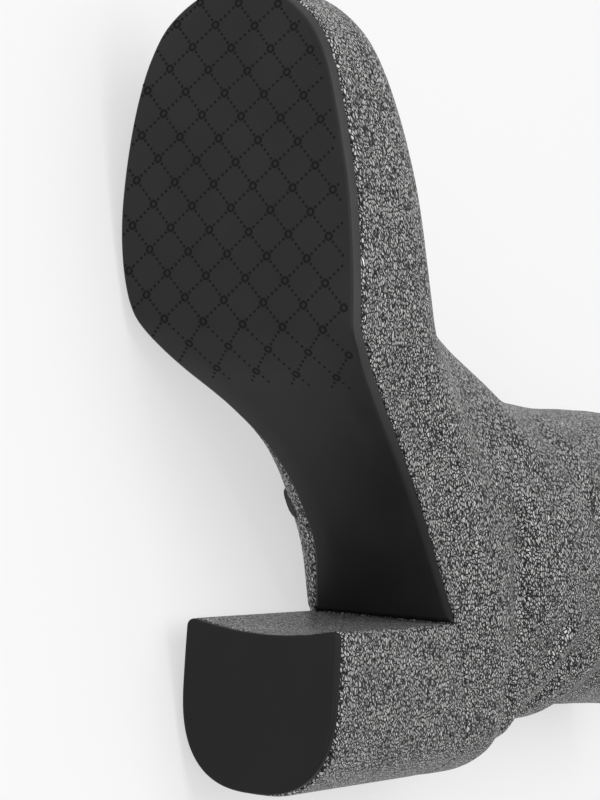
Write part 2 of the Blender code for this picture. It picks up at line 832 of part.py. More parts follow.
def build_slider(material, frame):
    """The closed slider: a plate on the teeth, two cheeks and the pin that the pull hangs on."""
    middle, along, out, up = frame
    plate_centre = middle + out * (SLIDER_THICKNESS / 2 + GAP)
    hinge = hinge_centre(frame)

    def plate(bm):
        oriented_box(bm, plate_centre, (SLIDER_WIDTH, SLIDER_THICKNESS, SLIDER_LENGTH), (along, out, up))

    thing = tool_object("zip_slider", plate)
    thing.hide_render = False
    thing.display_type = "TEXTURED"
    thing.data.materials.append(material)
    helpers = []
    reach = HINGE_RISE + HINGE_PIN_RADIUS + CHEEK_MARGIN + CHEEK_SINK
    for number, side in enumerate((-1, 1)):
        centre = middle + out * (GAP + SLIDER_THICKNESS - CHEEK_SINK + reach / 2)
        centre = centre + up * (hinge - middle).dot(up) + along * side * (CHEEK_SPACE + CHEEK_THICKNESS) / 2

        def cheek(bm, centre=centre):
            oriented_box(bm, centre, (CHEEK_THICKNESS, reach, CHEEK_LENGTH), (along, out, up))

        helpers.append(tool_object(f"slider_cheek_{number}", cheek))

    def pin(bm):
        oriented_rod(bm, hinge, HINGE_PIN_RADIUS, CHEEK_SPACE + CHEEK_THICKNESS, along, up)

    helpers.append(tool_object("slider_pin", pin))
    for helper in helpers:
        join_with(thing, helper, "UNION")
    return thing, helpers


def build_pull(material, frame):
    """The pull tab, made with its hinge at the origin, hanging straight down the zip."""
    _, along, out, up = frame
    eye_width = CHEEK_SPACE - 2 * GAP
    down = -up
    zero = Vector((0.0, 0.0, 0.0))

    def tab(bm):
        length = PULL_LENGTH - PULL_NECK + NECK_OVERLAP
        centre = down * (PULL_NECK - NECK_OVERLAP + length / 2)
        oriented_box(bm, centre, (PULL_WIDTH, PULL_THICKNESS, length), (along, out, up))
        far = []
        for edge in bm.edges:
            first, second = (vertex.co for vertex in edge.verts)
            upright = abs((first - second).normalized().dot(out)) > 0.9
            if upright and (first + second).dot(down) / 2 > PULL_LENGTH / 2:
                far.append(edge)
        bmesh.ops.bevel(bm, geom=far, offset=PULL_WIDTH * PULL_ROUND, segments=4, affect="EDGES")

    thing = tool_object("zip_pull", tab)
    thing.hide_render = False
    thing.display_type = "TEXTURED"
    thing.data.materials.append(material)

    def stem(bm):
        size = (eye_width - 2 * GAP, PULL_STEM_SHARE * PULL_THICKNESS, PULL_NECK)
        oriented_box(bm, down * PULL_NECK / 2, size, (along, out, up))

    def eye(bm):
        oriented_rod(bm, zero, PULL_EYE_RADIUS, eye_width, along, up)

    def bore(bm):
        oriented_rod(bm, zero, HINGE_PIN_RADIUS + GAP, 3 * eye_width, along, up)

    helpers = [tool_object("pull_stem", stem), tool_object("pull_eye", eye), tool_object("pull_bore", bore)]
    join_with(thing, helpers[0], "UNION")
    join_with(thing, helpers[1], "UNION")
    join_with(thing, helpers[2], "DIFFERENCE")
    return thing, helpers


# Laying the boot down

def evaluated_bmesh(thing):
    graph = bpy.context.evaluated_depsgraph_get()
    bm = bmesh.new()
    bm.from_object(thing, graph)
    bm.transform(thing.matrix_world)
    return bm


def centre_of_mass(pieces):
    total = 0.0
    moment = Vector((0.0, 0.0, 0.0))
    for thing in pieces:
        bm = evaluated_bmesh(thing)
        bmesh.ops.triangulate(bm, faces=bm.faces)
        for face in bm.faces:
            a, b, c = (v.co for v in face.verts)
            mass = a.dot(b.cross(c)) / 6 * DENSITY[thing.name]
            total += mass
            moment += mass * (a + b + c) / 4
        bm.free()
    return moment / total


def hull_of(pieces):
    hull = bmesh.new()
    for thing in pieces:
        bm = evaluated_bmesh(thing)
        for vertex in bm.verts:
            hull.verts.new(vertex.co)
        bm.free()
    result = bmesh.ops.convex_hull(hull, input=hull.verts)
    unused = result["geom_interior"] + result["geom_unused"]
    spare = list({item for item in unused if isinstance(item, bmesh.types.BMVert)})
    bmesh.ops.delete(hull, geom=spare, context="VERTS")
    bmesh.ops.recalc_face_normals(hull, faces=hull.faces)
    bmesh.ops.triangulate(hull, faces=hull.faces)
    return hull


def resting_normal(pieces):
    """The outward normal of the face of the boot's hull that it lies on, on its inner side.

    It is the face that the weight passes through when the inner side is turned down.
    """
    centre = centre_of_mass(pieces)
    hull = hull_of(pieces)
    down = Vector((0.0, -1.0, 0.0))
    for _ in range(8):
        best = None
        for face in hull.faces:
            normal = face.normal
            facing = normal.dot(down)
            if facing < 0.2:
                continue
            reach = (face.verts[0].co - centre).dot(normal) / facing
            hit = centre + down * reach
            corners = [v.co for v in face.verts]
            edges = zip(corners, corners[1:] + corners[:1])
            if all((b - a).cross(hit - a).dot(normal) >= -1e-9 for a, b in edges):
                best = normal.copy()
        if best is None or best.dot(down) > 0.999999:
            break
        down = best
    hull.free()
    return down


def lay_down(pieces, normal, root):
    """Turn the boot so that its resting face is down, the sole faces -Y and the toe points to -X."""
    up = -normal
    toe = Vector((1.0, 0.0, 0.0))
    toe = (toe - up * toe.dot(up)).normalized()
    east = -toe
    north = up.cross(east)
    turn = Matrix((east, north, up))
    corners = []
    for thing in pieces:
        bm = evaluated_bmesh(thing)
        corners += [turn @ v.co for v in bm.verts]
        bm.free()
    low = Vector(tuple(min(c[i] for c in corners) for i in range(3)))
    high = Vector(tuple(max(c[i] for c in corners) for i in range(3)))
    shift = Vector((-(low.x + high.x) / 2, -(low.y + high.y) / 2, -low.z))
    root.matrix_world = Matrix.Translation(shift) @ turn.to_4x4()


def swing_to_floor(frame, normal, floor_reach):
    """How far the pull swings out before its tip meets the floor that the boot lies on."""
    hinge = hinge_centre(frame)
    _, along, out, up = frame
    room = floor_reach - hinge.dot(normal)
    angle = 0.0
    while angle < math.radians(WIDEST_SWING):
        direction = -up * math.cos(angle) + out * math.sin(angle)
        thick = out * math.cos(angle) + up * math.sin(angle)
        tip = PULL_LENGTH * direction.dot(normal) + PULL_THICKNESS / 2 * abs(thick.dot(normal))
        if tip > room - GAP:
            break
        angle += math.radians(0.25)
    return angle


def main():
    for thing in list(bpy.data.objects):
        bpy.data.objects.remove(thing)

    knit = add_material("silver_black_knit", (0.19, 0.19, 0.195), 0.55, 0.25)
    rubber = add_material("sole_rubber", (0.030, 0.030, 0.031), 0.55)
    lift_rubber = add_material("lift_rubber", (0.018, 0.018, 0.019), 0.50)
    footbed = add_material("footbed_leather", (0.05, 0.048, 0.045), 0.6)
    tape = add_material("zip_black", (0.015, 0.015, 0.016), 0.6)
    metal = add_material("zip_metal", (0.35, 0.35, 0.36), 0.3, 1.0)

    outsole = build_outsole(rubber)
    platform = build_platform(knit)
    heel_block = build_heel_block(knit)
    top_lift = build_top_lift(lift_rubber)
    upper = build_upper(knit)
    insole = build_insole(footbed)
    slit = cut_zip_slit(upper, tape)
    zip_tape = zip_strip("zip_tape", ZIP_WIDTH / 2, GAP, GAP + ZIP_TAPE_THICKNESS, 0.0, 0.0, tape)
    frame = slider_frame()
    slider, slider_helpers = build_slider(metal, frame)
    pull, pull_helpers = build_pull(metal, frame)
    bpy.context.view_layer.update()

    pieces = [outsole, platform, heel_block, top_lift, upper, insole, zip_tape, slider]
    normal = resting_normal(pieces)
    hull = hull_of(pieces)
    floor_reach = max(v.co.dot(normal) for v in hull.verts)
    hull.free()
    swing = swing_to_floor(frame, normal, floor_reach)

    hinge = bpy.data.objects.new("pull_hinge", None)
    bpy.context.scene.collection.objects.link(hinge)
    hinge.matrix_world = Matrix.Translation(hinge_centre(frame)) @ Matrix.Rotation(-swing, 4, frame[1])
    for thing in [pull] + pull_helpers:
        thing.parent = hinge
    bpy.context.view_layer.update()

    root = bpy.data.objects.new("boot", None)
    bpy.context.scene.collection.objects.link(root)
    lay_down(pieces + [pull], normal, root)
    for thing in pieces + [slit] + slider_helpers + [hinge]:
        thing.parent = root
    bpy.context.view_layer.update()
    return root


main()
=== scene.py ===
# %% [markdown]
# # A platform heeled boot in silver and black knit
#
# The boot lies on its inner side, as it does in the frame, and is seen from below: a dark rubber
# outsole with a dotted tread, a high block heel and a platform that wear the same glittering knit as
# the upper, and a zip on the inner side. The frame holds plain solids with the right shape and joints.
# This file gives each of them its real surface.

# %% Load the frame
import math
from collections import namedtuple
from functools import lru_cache

import bmesh
import bpy
from mathutils import Matrix, Vector
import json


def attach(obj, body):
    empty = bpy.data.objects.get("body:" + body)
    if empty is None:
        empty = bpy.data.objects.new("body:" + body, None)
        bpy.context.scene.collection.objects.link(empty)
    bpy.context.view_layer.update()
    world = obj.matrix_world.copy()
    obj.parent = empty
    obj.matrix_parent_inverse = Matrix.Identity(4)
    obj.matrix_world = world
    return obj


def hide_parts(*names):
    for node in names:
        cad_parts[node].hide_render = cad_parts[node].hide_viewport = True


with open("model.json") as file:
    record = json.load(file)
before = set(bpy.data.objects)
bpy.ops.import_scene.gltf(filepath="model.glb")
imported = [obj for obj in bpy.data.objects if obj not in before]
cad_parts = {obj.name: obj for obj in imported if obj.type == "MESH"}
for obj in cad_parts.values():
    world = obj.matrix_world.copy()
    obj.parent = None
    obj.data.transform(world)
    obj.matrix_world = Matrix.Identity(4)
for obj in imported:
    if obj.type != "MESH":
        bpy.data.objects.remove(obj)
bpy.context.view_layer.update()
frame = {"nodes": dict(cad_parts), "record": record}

# %% [markdown]
# ## The boot's own directions
#
# A shoemaker measures a boot that stands on its sole: X from the back of the heel to the toe, Y to the
# outer side of the foot, Z up. All sizes below are in that frame. The lying boot could be modelled
# as it lies, but every number would then be hard to read. Two flat spots of the tread, which the frame's
# record gives, are enough to turn the standing boot into the lying one.

# %% From the standing boot to the lying boot
SOLE_LENGTH = 0.248
TOE_SHIFT = 0.025
OUTER_SIDE = 1
INNER_SIDE = -1
LIFT_MIDDLE = 0.026
TREAD_MIDDLE = 0.153
MM = 0.001


def mix(first, second, share):
    return first * (1 - share) + second * share


def axis_y(x):
    """Y of the line from the middle of the heel's back to the toe tip."""
    return -TOE_SHIFT * x / SOLE_LENGTH


def lying_matrix():
    mounts = {mount["name"]: mount for mount in frame["record"]["mounts"]}
    lift = Vector(mounts["top_lift_tread"]["pos_m"])
    tread = Vector(mounts["forefoot_tread"]["pos_m"])
    lift_spot = Vector((LIFT_MIDDLE, 0.0, 0.0))
    tread_spot = Vector((TREAD_MIDDLE, axis_y(TREAD_MIDDLE), 0.0))
    up = -Vector(mounts["top_lift_tread"]["axis"]).normalized()
    ahead = tread - lift
    ahead = (ahead - up * ahead.dot(up)).normalized()
    lying = Matrix((ahead, up.cross(ahead), up)).transposed()
    upright = Vector((0.0, 0.0, 1.0))
    ahead = (tread_spot - lift_spot).normalized()
    standing = Matrix((ahead, upright.cross(ahead), upright)).transposed()
    turn = (lying @ standing.transposed()).to_4x4()
    return Matrix.Translation(lift) @ turn @ Matrix.Translation(-lift_spot)


BOOT = lying_matrix()
print("the toe points to", [round(v, 3) for v in BOOT.to_3x3() @ Vector((1, 0, 0))])

# %% [markdown]
# ## The camera
#
# The photograph looks up at the sole from below the outer side, with the toe at the top. A long lens
# keeps the outlines nearly parallel. The camera's place was worked out once from the heel, the sole and
# the evenly spaced tread, and is written here in the boot's frame.

# %% Camera
CAMERA_PLACE = Vector((0.1278, 0.5438, -0.9095))
CAMERA_RIGHT = Vector((0.0564, 0.8605, 0.5063))
CAMERA_DOWN = Vector((-0.9984, 0.0523, 0.0223))

lens = bpy.data.cameras.new("photo_lens")
lens.lens = 157.5
lens.sensor_width = 36.0
lens.clip_start = 0.05
lens.clip_end = 30.0
camera = bpy.data.objects.new("photo_camera", lens)
bpy.context.scene.collection.objects.link(camera)
right = CAMERA_RIGHT.normalized()
down = (CAMERA_DOWN - right * CAMERA_DOWN.dot(right)).normalized()
look = right.cross(down)
aim = Matrix((right, -down, -look)).transposed()
camera.matrix_world = BOOT @ (Matrix.Translation(CAMERA_PLACE) @ aim.to_4x4())
bpy.context.scene.camera = camera
print("camera at", [round(v, 3) for v in camera.matrix_world.translation])

# %% [markdown]
# ## Floor and light
#
# The photograph is a shop picture: a nearly white ground and soft light from all around, a little
# stronger from above the boot's outer side. A single lamp would throw hard shadows. Large area lights
# are used, and a bright sky fills what they leave.

# %% Floor and lights
floor_mesh = bpy.data.meshes.new("floor")
floor_mesh.from_pydata([(-6, -6, 0), (6, -6, 0), (6, 6, 0), (-6, 6, 0)], [], [(0, 1, 2, 3)])
floor = bpy.data.objects.new("floor", floor_mesh)
bpy.context.scene.collection.objects.link(floor)
floor_paint = bpy.data.materials.new("floor_paint")
floor_paint.use_nodes = True
floor_shader = floor_paint.node_tree.nodes["Principled BSDF"]
floor_shader.inputs["Base Color"].default_value = (0.30, 0.30, 0.30, 1.0)
floor_shader.inputs["Roughness"].default_value = 0.9
floor_shader.inputs["Specular IOR Level"].default_value = 0.0
floor_shader.inputs["Emission Color"].default_value = (1.0, 1.0, 1.0, 1.0)
floor_shader.inputs["Emission Strength"].default_value = 0.575
floor_mesh.materials.append(floor_paint)

sky = bpy.data.worlds.new("studio")
sky.use_nodes = True
sky.node_tree.nodes["Background"].inputs["Color"].default_value = (1.0, 1.0, 1.0, 1.0)
sky.node_tree.nodes["Background"].inputs["Strength"].default_value = 0.62
bpy.context.scene.world = sky
bpy.context.scene.view_settings.view_transform = "Standard"

LIT_SPOT = Vector((0.0, 0.0, 0.05))
Lamp = namedtuple("Lamp", "name place size power")
LAMPS = [
    Lamp("overhead_softbox", (-0.35, -0.1, 1.7), 1.6, 17.0),
    Lamp("front_softbox", (0.1, -1.9, 1.2), 1.4, 15.0),
    Lamp("toe_softbox", (-1.6, -0.5, 0.9), 1.0, 5.0),
]
for lamp in LAMPS:
    light = bpy.data.lights.new(lamp.name, "AREA")
    light.shape = "SQUARE"
    light.size = lamp.size
    light.energy = lamp.power
    holder = bpy.data.objects.new(lamp.name, light)
    holder.location = lamp.place
    holder.rotation_euler = (LIT_SPOT - Vector(lamp.place)).to_track_quat("-Z", "Y").to_euler()
    bpy.context.scene.collection.objects.link(holder)
print("lights:", [lamp.name for lamp in LAMPS])

# %% [markdown]
# ## Finishes
#
# Two effects come back on several pieces, so each is a node group. The knit group splits the space
# that the cloth lies in into leaning cells, and each cell becomes a plump stitch of silver or
# dull yarn on a black ground. A picture of the cloth would be quicker, but would blur up close and
# stretch where the boot narrows. The grain group is the fine noise of moulded rubber and lining.

# %% Helpers for node trees
def new_group(name, inputs, outputs):
    group = bpy.data.node_groups.new(name, "ShaderNodeTree")
    for label, kind, value in inputs:
        socket = group.interface.new_socket(label, in_out="INPUT", socket_type=kind)
        if value is not None:
            socket.default_value = value
    for label, kind in outputs:
        group.interface.new_socket(label, in_out="OUTPUT", socket_type=kind)
    return group, group.nodes.new("NodeGroupInput"), group.nodes.new("NodeGroupOutput")


def feed(tree, socket, value):
    """Give a socket a fixed value, or link it to the output of another node."""
    if isinstance(value, (int, float, tuple)):
        socket.default_value = value
    else:
        tree.links.new(value, socket)


def math_node(tree, operation, first, second, clamp=False):
    node = tree.nodes.new("ShaderNodeMath")
    node.operation = operation
    node.use_clamp = clamp
    feed(tree, node.inputs[0], first)
    feed(tree, node.inputs[1], second)
    return node.outputs[0]


def noise_node(tree, place, scale, detail):
    node = tree.nodes.new("ShaderNodeTexNoise")
    for label, value in (("Vector", place), ("Scale", scale), ("Detail", detail)):
        feed(tree, node.inputs[label], value)
    return node.outputs


def ramp_node(tree, value, low, high, to_low=0.0, to_high=1.0):
    node = tree.nodes.new("ShaderNodeMapRange")
    node.interpolation_type = "SMOOTHSTEP"
    labels = ("Value", "From Min", "From Max", "To Min", "To Max")
    for label, number in zip(labels, (value, low, high, to_low, to_high)):
        feed(tree, node.inputs[label], number)
    return node.outputs["Result"]


def mix_colours(tree, share, first, second):
    node = tree.nodes.new("ShaderNodeMix")
    node.data_type = "RGBA"
    for label, value in (("Factor", share), ("A", first), ("B", second)):
        feed(tree, next(s for s in node.inputs if s.name == label and s.enabled), value)
    return next(s for s in node.outputs if s.enabled)


def plain_material(name, roughness, metallic=0.0):
    material = bpy.data.materials.new(name)
    material.use_nodes = True
    shader = material.node_tree.nodes["Principled BSDF"]
    shader.inputs["Roughness"].default_value = roughness
    shader.inputs["Metallic"].default_value = metallic
    return material, material.node_tree, shader


def place_group(tree, group, **values):
    node = tree.nodes.new("ShaderNodeGroup")
    node.node_tree = group
    for label, value in values.items():
        feed(tree, node.inputs[label.replace("_", " ")], value)
    return node


def add_bump(tree, shader, height, distance, strength=1.0):
    bump = tree.nodes.new("ShaderNodeBump")
    bump.inputs["Strength"].default_value = strength
    bump.inputs["Distance"].default_value = distance
    tree.links.new(height, bump.inputs["Height"])
    tree.links.new(bump.outputs["Normal"], shader.inputs["Normal"])


# %% The knit group
WANDER_SCALE = 0.33
WANDER_PULL = 2.2
LEAN = 0.42
PATCH_SCALE = 0.10
FIBRE_SCALE = 2.6


def build_knit_group():
    group, given, out = new_group(
        "knit stitches",
        [
            ("Place", "NodeSocketVector", None),
            ("Looseness", "NodeSocketFloat", 0.92),
            ("Gap", "NodeSocketFloat", 0.24),
            ("Ground", "NodeSocketColor", (0.004, 0.004, 0.004, 1.0)),
            ("Dull Yarn", "NodeSocketColor", (0.09, 0.09, 0.092, 1.0)),
            ("Silver Yarn", "NodeSocketColor", (0.70, 0.70, 0.69, 1.0)),
        ],
        [("Color", "NodeSocketColor"), ("Silver", "NodeSocketFloat"), ("Height", "NodeSocketFloat")],
    )
    wander = noise_node(group, given.outputs["Place"], WANDER_SCALE, 1.0)
    pulled = group.nodes.new("ShaderNodeVectorMath")
    pulled.operation = "MULTIPLY_ADD"
    pulled.inputs[1].default_value = (WANDER_PULL, WANDER_PULL, WANDER_PULL)
    group.links.new(wander["Color"], pulled.inputs[0])
    group.links.new(given.outputs["Place"], pulled.inputs[2])
    split = group.nodes.new("ShaderNodeSeparateXYZ")
    group.links.new(pulled.outputs["Vector"], split.inputs[0])
    lean = math_node(group, "MULTIPLY", split.outputs["X"], LEAN)
    join = group.nodes.new("ShaderNodeCombineXYZ")
    group.links.new(split.outputs["X"], join.inputs["X"])
    group.links.new(math_node(group, "ADD", split.outputs["Y"], lean), join.inputs["Y"])
    group.links.new(math_node(group, "ADD", split.outputs["Z"], lean), join.inputs["Z"])

    cells = group.nodes.new("ShaderNodeTexVoronoi")
    cells.feature = "F1"
    gaps = group.nodes.new("ShaderNodeTexVoronoi")
    gaps.feature = "DISTANCE_TO_EDGE"
    for node in (cells, gaps):
        node.inputs["Scale"].default_value = 1.0
        group.links.new(join.outputs[0], node.inputs["Vector"])
        group.links.new(given.outputs["Looseness"], node.inputs["Randomness"])
    fullness = math_node(group, "DIVIDE", gaps.outputs["Distance"], given.outputs["Gap"])
    grain = ramp_node(group, fullness, 0.06, 1.0)
    dice = group.nodes.new("ShaderNodeSeparateColor")
    group.links.new(cells.outputs["Color"], dice.inputs[0])
    shine = ramp_node(group, dice.outputs["Red"], 0.0, 0.8, 0.50, 0.80)
    sparkle = ramp_node(group, dice.outputs["Green"], 0.90, 1.0, 0.0, 0.5)
    shine = math_node(group, "ADD", shine, sparkle, clamp=True)

    patches = noise_node(group, join.outputs[0], PATCH_SCALE, 2.0)
    patch = ramp_node(group, patches["Fac"], 0.3, 0.7, 0.82, 1.0)
    shine = math_node(group, "MULTIPLY", shine, patch)
    fibres = noise_node(group, join.outputs[0], FIBRE_SCALE, 2.0)
    thread = ramp_node(group, fibres["Fac"], 0.34, 0.58, 0.6, 1.0)
    silver = math_node(group, "MULTIPLY", math_node(group, "MULTIPLY", grain, shine), thread)

    yarn = mix_colours(group, silver, given.outputs["Dull Yarn"], given.outputs["Silver Yarn"])
    cloth = mix_colours(group, grain, given.outputs["Ground"], yarn)
    group.links.new(cloth, out.inputs["Color"])
    group.links.new(silver, out.inputs["Silver"])
    group.links.new(grain, out.inputs["Height"])
    return group


KNIT = build_knit_group()
print("group:", KNIT.name, [item.name for item in KNIT.interface.items_tree])


# %% The grain group
HANDLED_SCALE = 45.0


def build_grain_group():
    group, given, out = new_group(
        "fine grain",
        [
            ("Place", "NodeSocketVector", None),
            ("Scale", "NodeSocketFloat", 900.0),
            ("Base", "NodeSocketColor", (0.03, 0.03, 0.03, 1.0)),
            ("Worn", "NodeSocketColor", (0.04, 0.04, 0.04, 1.0)),
            ("Least Roughness", "NodeSocketFloat", 0.4),
            ("Most Roughness", "NodeSocketFloat", 0.6),
        ],
        [("Color", "NodeSocketColor"), ("Roughness", "NodeSocketFloat"), ("Height", "NodeSocketFloat")],
    )
    fine = noise_node(group, given.outputs["Place"], given.outputs["Scale"], 4.0)
    broad = noise_node(group, given.outputs["Place"], HANDLED_SCALE, 3.0)
    handled = ramp_node(group, broad["Fac"], 0.35, 0.68)
    colour = mix_colours(group, handled, given.outputs["Base"], given.outputs["Worn"])
    least = given.outputs["Least Roughness"]
    spread = math_node(group, "SUBTRACT", given.outputs["Most Roughness"], least)
    rough = math_node(group, "ADD", math_node(group, "MULTIPLY", handled, spread), least)
    group.links.new(colour, out.inputs["Color"])
    group.links.new(rough, out.inputs["Roughness"])
    group.links.new(fine["Fac"], out.inputs["Height"])
    return group


GRAIN = build_grain_group()
print("group:", GRAIN.name)


# %% The materials
def boot_place(tree, shift=(0.0, 0.0, 0.0)):
    """The place of a surface in the directions of the standing boot."""
    where = tree.nodes.new("ShaderNodeTexCoord")
    stand_up = tree.nodes.new("ShaderNodeMapping")
    stand_up.inputs["Location"].default_value = shift
    stand_up.inputs["Rotation"].default_value = BOOT.to_3x3().transposed().to_euler()
    tree.links.new(where.outputs["Object"], stand_up.inputs["Vector"])
    return where.outputs["Object"], stand_up.outputs["Vector"]


def wear_grain(tree, shader, relief, **values):
    """Colour, gloss and relief of a surface from the fine grain."""
    node = place_group(tree, GRAIN, **values)
    tree.links.new(node.outputs["Color"], shader.inputs["Base Color"])
    tree.links.new(node.outputs["Roughness"], shader.inputs["Roughness"])
    add_bump(tree, shader, node.outputs["Height"], relief)


def grained(name, base, worn, scale, least, most, relief, metallic=0.0):
    """A material whose colour and gloss vary softly, with a fine relief of the given depth."""
    material, tree, shader = plain_material(name, most, metallic)
    where = tree.nodes.new("ShaderNodeTexCoord")
    wear_grain(
        tree, shader, relief, Place=where.outputs["Object"], Scale=scale,
        Base=(*base, 1.0), Worn=(*worn, 1.0), Least_Roughness=least, Most_Roughness=most,
    )
    return material


def knitted(name, length, width):
    """The knit, with grains of the given length along the foot and of the given width."""
    material, tree, shader = plain_material(name, 0.42)
    shader.inputs["Specular IOR Level"].default_value = 0.12
    _, standing = boot_place(tree)
    count = tree.nodes.new("ShaderNodeVectorMath")
    count.operation = "MULTIPLY"
    count.inputs[1].default_value = (1 / length, 1 / width, 1 / width)
    tree.links.new(standing, count.inputs[0])
    node = place_group(tree, KNIT, Place=count.outputs["Vector"])
    tree.links.new(node.outputs["Color"], shader.inputs["Base Color"])
    metal = math_node(tree, "MULTIPLY", node.outputs["Silver"], 0.45)
    tree.links.new(metal, shader.inputs["Metallic"])
    add_bump(tree, shader, node.outputs["Height"], 0.35 * MM, 0.9)
    return material


SILVER_KNIT = knitted("silver_and_black_knit", 1.55 * MM, 0.95 * MM)
LINING = grained(
    "lining_cloth", (0.030, 0.030, 0.031), (0.045, 0.045, 0.046), 1400.0, 0.75, 0.9, 0.08 * MM
)
OUTSOLE_RUBBER = grained(
    "outsole_rubber", (0.011, 0.011, 0.011), (0.014, 0.014, 0.014), 1600.0, 0.42, 0.52, 0.02 * MM
)
TREAD_RUBBER = grained(
    "tread_rubber", (0.003, 0.003, 0.003), (0.005, 0.005, 0.005), 1600.0, 0.55, 0.7, 0.02 * MM
)
LIFT_RUBBER = grained(
    "lift_rubber", (0.006, 0.006, 0.006), (0.008, 0.008, 0.008), 2000.0, 0.50, 0.62, 0.03 * MM
)
FOOTBED = grained(
    "footbed_finish", (0.045, 0.043, 0.041), (0.060, 0.057, 0.054), 700.0, 0.45, 0.65, 0.12 * MM
)
TAPE_CLOTH = grained(
    "zip_tape_cloth", (0.010, 0.010, 0.011), (0.018, 0.018, 0.019), 2200.0, 0.7, 0.85, 0.10 * MM
)
TEETH_PLASTIC = grained(
    "zip_teeth_plastic", (0.012, 0.012, 0.013), (0.020, 0.020, 0.021), 800.0, 0.28, 0.42, 0.01 * MM
)
GUNMETAL = grained(
    "gunmetal", (0.30, 0.30, 0.31), (0.38, 0.38, 0.39), 1200.0, 0.22, 0.38, 0.01 * MM, 1.0
)
THREAD = grained(
    "sewing_thread", (0.05, 0.05, 0.052), (0.09, 0.09, 0.092), 3000.0, 0.6, 0.8, 0.03 * MM
)


def edge_rubber_with_painted_light(name, dark, pale, fade_from, fade_to):
    """Edge rubber painted pale under the forefoot as painted light, where the edge faces the lamps, and
    left dark under the arch.
    """
    material, tree, shader = plain_material(name, 0.6)
    lying, standing = boot_place(tree, BOOT.inverted().translation)
    split = tree.nodes.new("ShaderNodeSeparateXYZ")
    tree.links.new(standing, split.inputs[0])
    share = ramp_node(tree, split.outputs["X"], fade_from, fade_to)
    # Both colours run from the dark rubber under the arch to a pale tone under the forefoot, which is
    # painted light.
    base = mix_colours(tree, share, (*dark, 1.0), (*pale, 1.0))
    worn = mix_colours(tree, share, (*dark, 1.0), tuple(1.3 * v for v in pale) + (1.0,))
    wear_grain(
        tree, shader, 0.02 * MM, Place=lying, Scale=1800.0,
        Base=base, Worn=worn, Least_Roughness=0.50, Most_Roughness=0.62,
    )
    return material


# The pale tone of this edge rubber is painted light where the slanted edge faces the lamps.
EDGE_RUBBER_PAINTED_LIGHT = edge_rubber_with_painted_light(
    "edge_rubber_painted_light", (0.011, 0.011, 0.011), (0.030, 0.030, 0.030), 0.080, 0.150
)
TREAD_GLOSS = 0.13
RUBBER_GLOSS = 0.2
for rubber in (OUTSOLE_RUBBER, TREAD_RUBBER, LIFT_RUBBER, EDGE_RUBBER_PAINTED_LIGHT):
    gloss = TREAD_GLOSS if rubber == TREAD_RUBBER else RUBBER_GLOSS
    rubber.node_tree.nodes["Principled BSDF"].inputs["Specular IOR Level"].default_value = gloss
print("the knit is", SILVER_KNIT.name, "and the sole is", OUTSOLE_RUBBER.name)

# %% [markdown]
# ## Curves of the sole
#
# A last, the wooden foot that a boot is built on, is described by a few measured sections.
# Curves run smoothly through them. The same numbers made the solids of the frame, so a finer surface
# made from them lies exactly on those.

# %% Sizes and tables of the last
BALL_WIDTH = 0.084
HEEL_WIDTH = 0.054
HEEL_DEPTH = 0.0513
BREAST_HEIGHT = 0.0735
BREAST_HOLLOW = 0.0028
CORNER_RADIUS = 0.0022
HOLLOW_START = 0.35
SEAT_RISE = 0.014
SEAT_BULGE = 0.3
PLATFORM_HEIGHT = 0.028
TOE_SPRING = 0.009
TOE_TOP_RISE = 0.0018
TREAD_BACK = 0.144
TREAD_FRONT = 0.162
OUTSOLE_THICKNESS = 0.004
OUTSOLE_WAIST = 0.0022
LIFT_THICKNESS = 0.003
LIFT_ROUND = 0.62
LIFT_POWER = 2.55
LIFT_TAPER = 0.0008
WRAP_PROUD = 0.0008
WRAP_TURN = 0.33
WAIST_LEAD = 0.12
SHAFT_RISE = 0.178
SHAFT_DEPTH = 0.104
SHAFT_WIDTH = 0.067
WALL = 0.002
GAP = 0.0003
HEEL_FULLNESS = 0.720
TOE_FULLNESS = 0.670
PROBE = 0.001

Outline = namedtuple("Outline", "along inner outer flare")
SOLE_OUTLINE = [
    Outline(0.030, 0.232, 0.254, 0.000),
    Outline(0.108, 0.275, 0.340, 0.018),
    Outline(0.205, 0.228, 0.374, 0.045),
    Outline(0.317, 0.118, 0.393, 0.100),
    Outline(0.369, 0.112, 0.406, 0.106),
    Outline(0.418, 0.138, 0.419, 0.090),
    Outline(0.466, 0.210, 0.437, 0.050),
    Outline(0.514, 0.335, 0.461, 0.015),
    Outline(0.555, 0.428, 0.482, 0.000),
    Outline(0.600, 0.488, 0.493, 0.000),
    Outline(0.650, 0.508, 0.497, 0.000),
    Outline(0.700, 0.506, 0.495, 0.000),
    Outline(0.750, 0.490, 0.484, 0.000),
    Outline(0.800, 0.467, 0.459, 0.000),
    Outline(0.850, 0.436, 0.427, 0.000),
    Outline(0.900, 0.390, 0.384, 0.000),
    Outline(0.952, 0.299, 0.296, 0.000),
    Outline(0.980, 0.197, 0.196, 0.000),
]

Waist = namedtuple("Waist", "back rise platform")
WAIST_CURVE = [
    Waist(0.00, 0.000, 1.00),
    Waist(0.12, 0.085, 0.94),
    Waist(0.25, 0.240, 0.79),
    Waist(0.45, 0.490, 0.55),
    Waist(0.70, 0.745, 0.33),
    Waist(1.00, 1.000, 0.165),
]

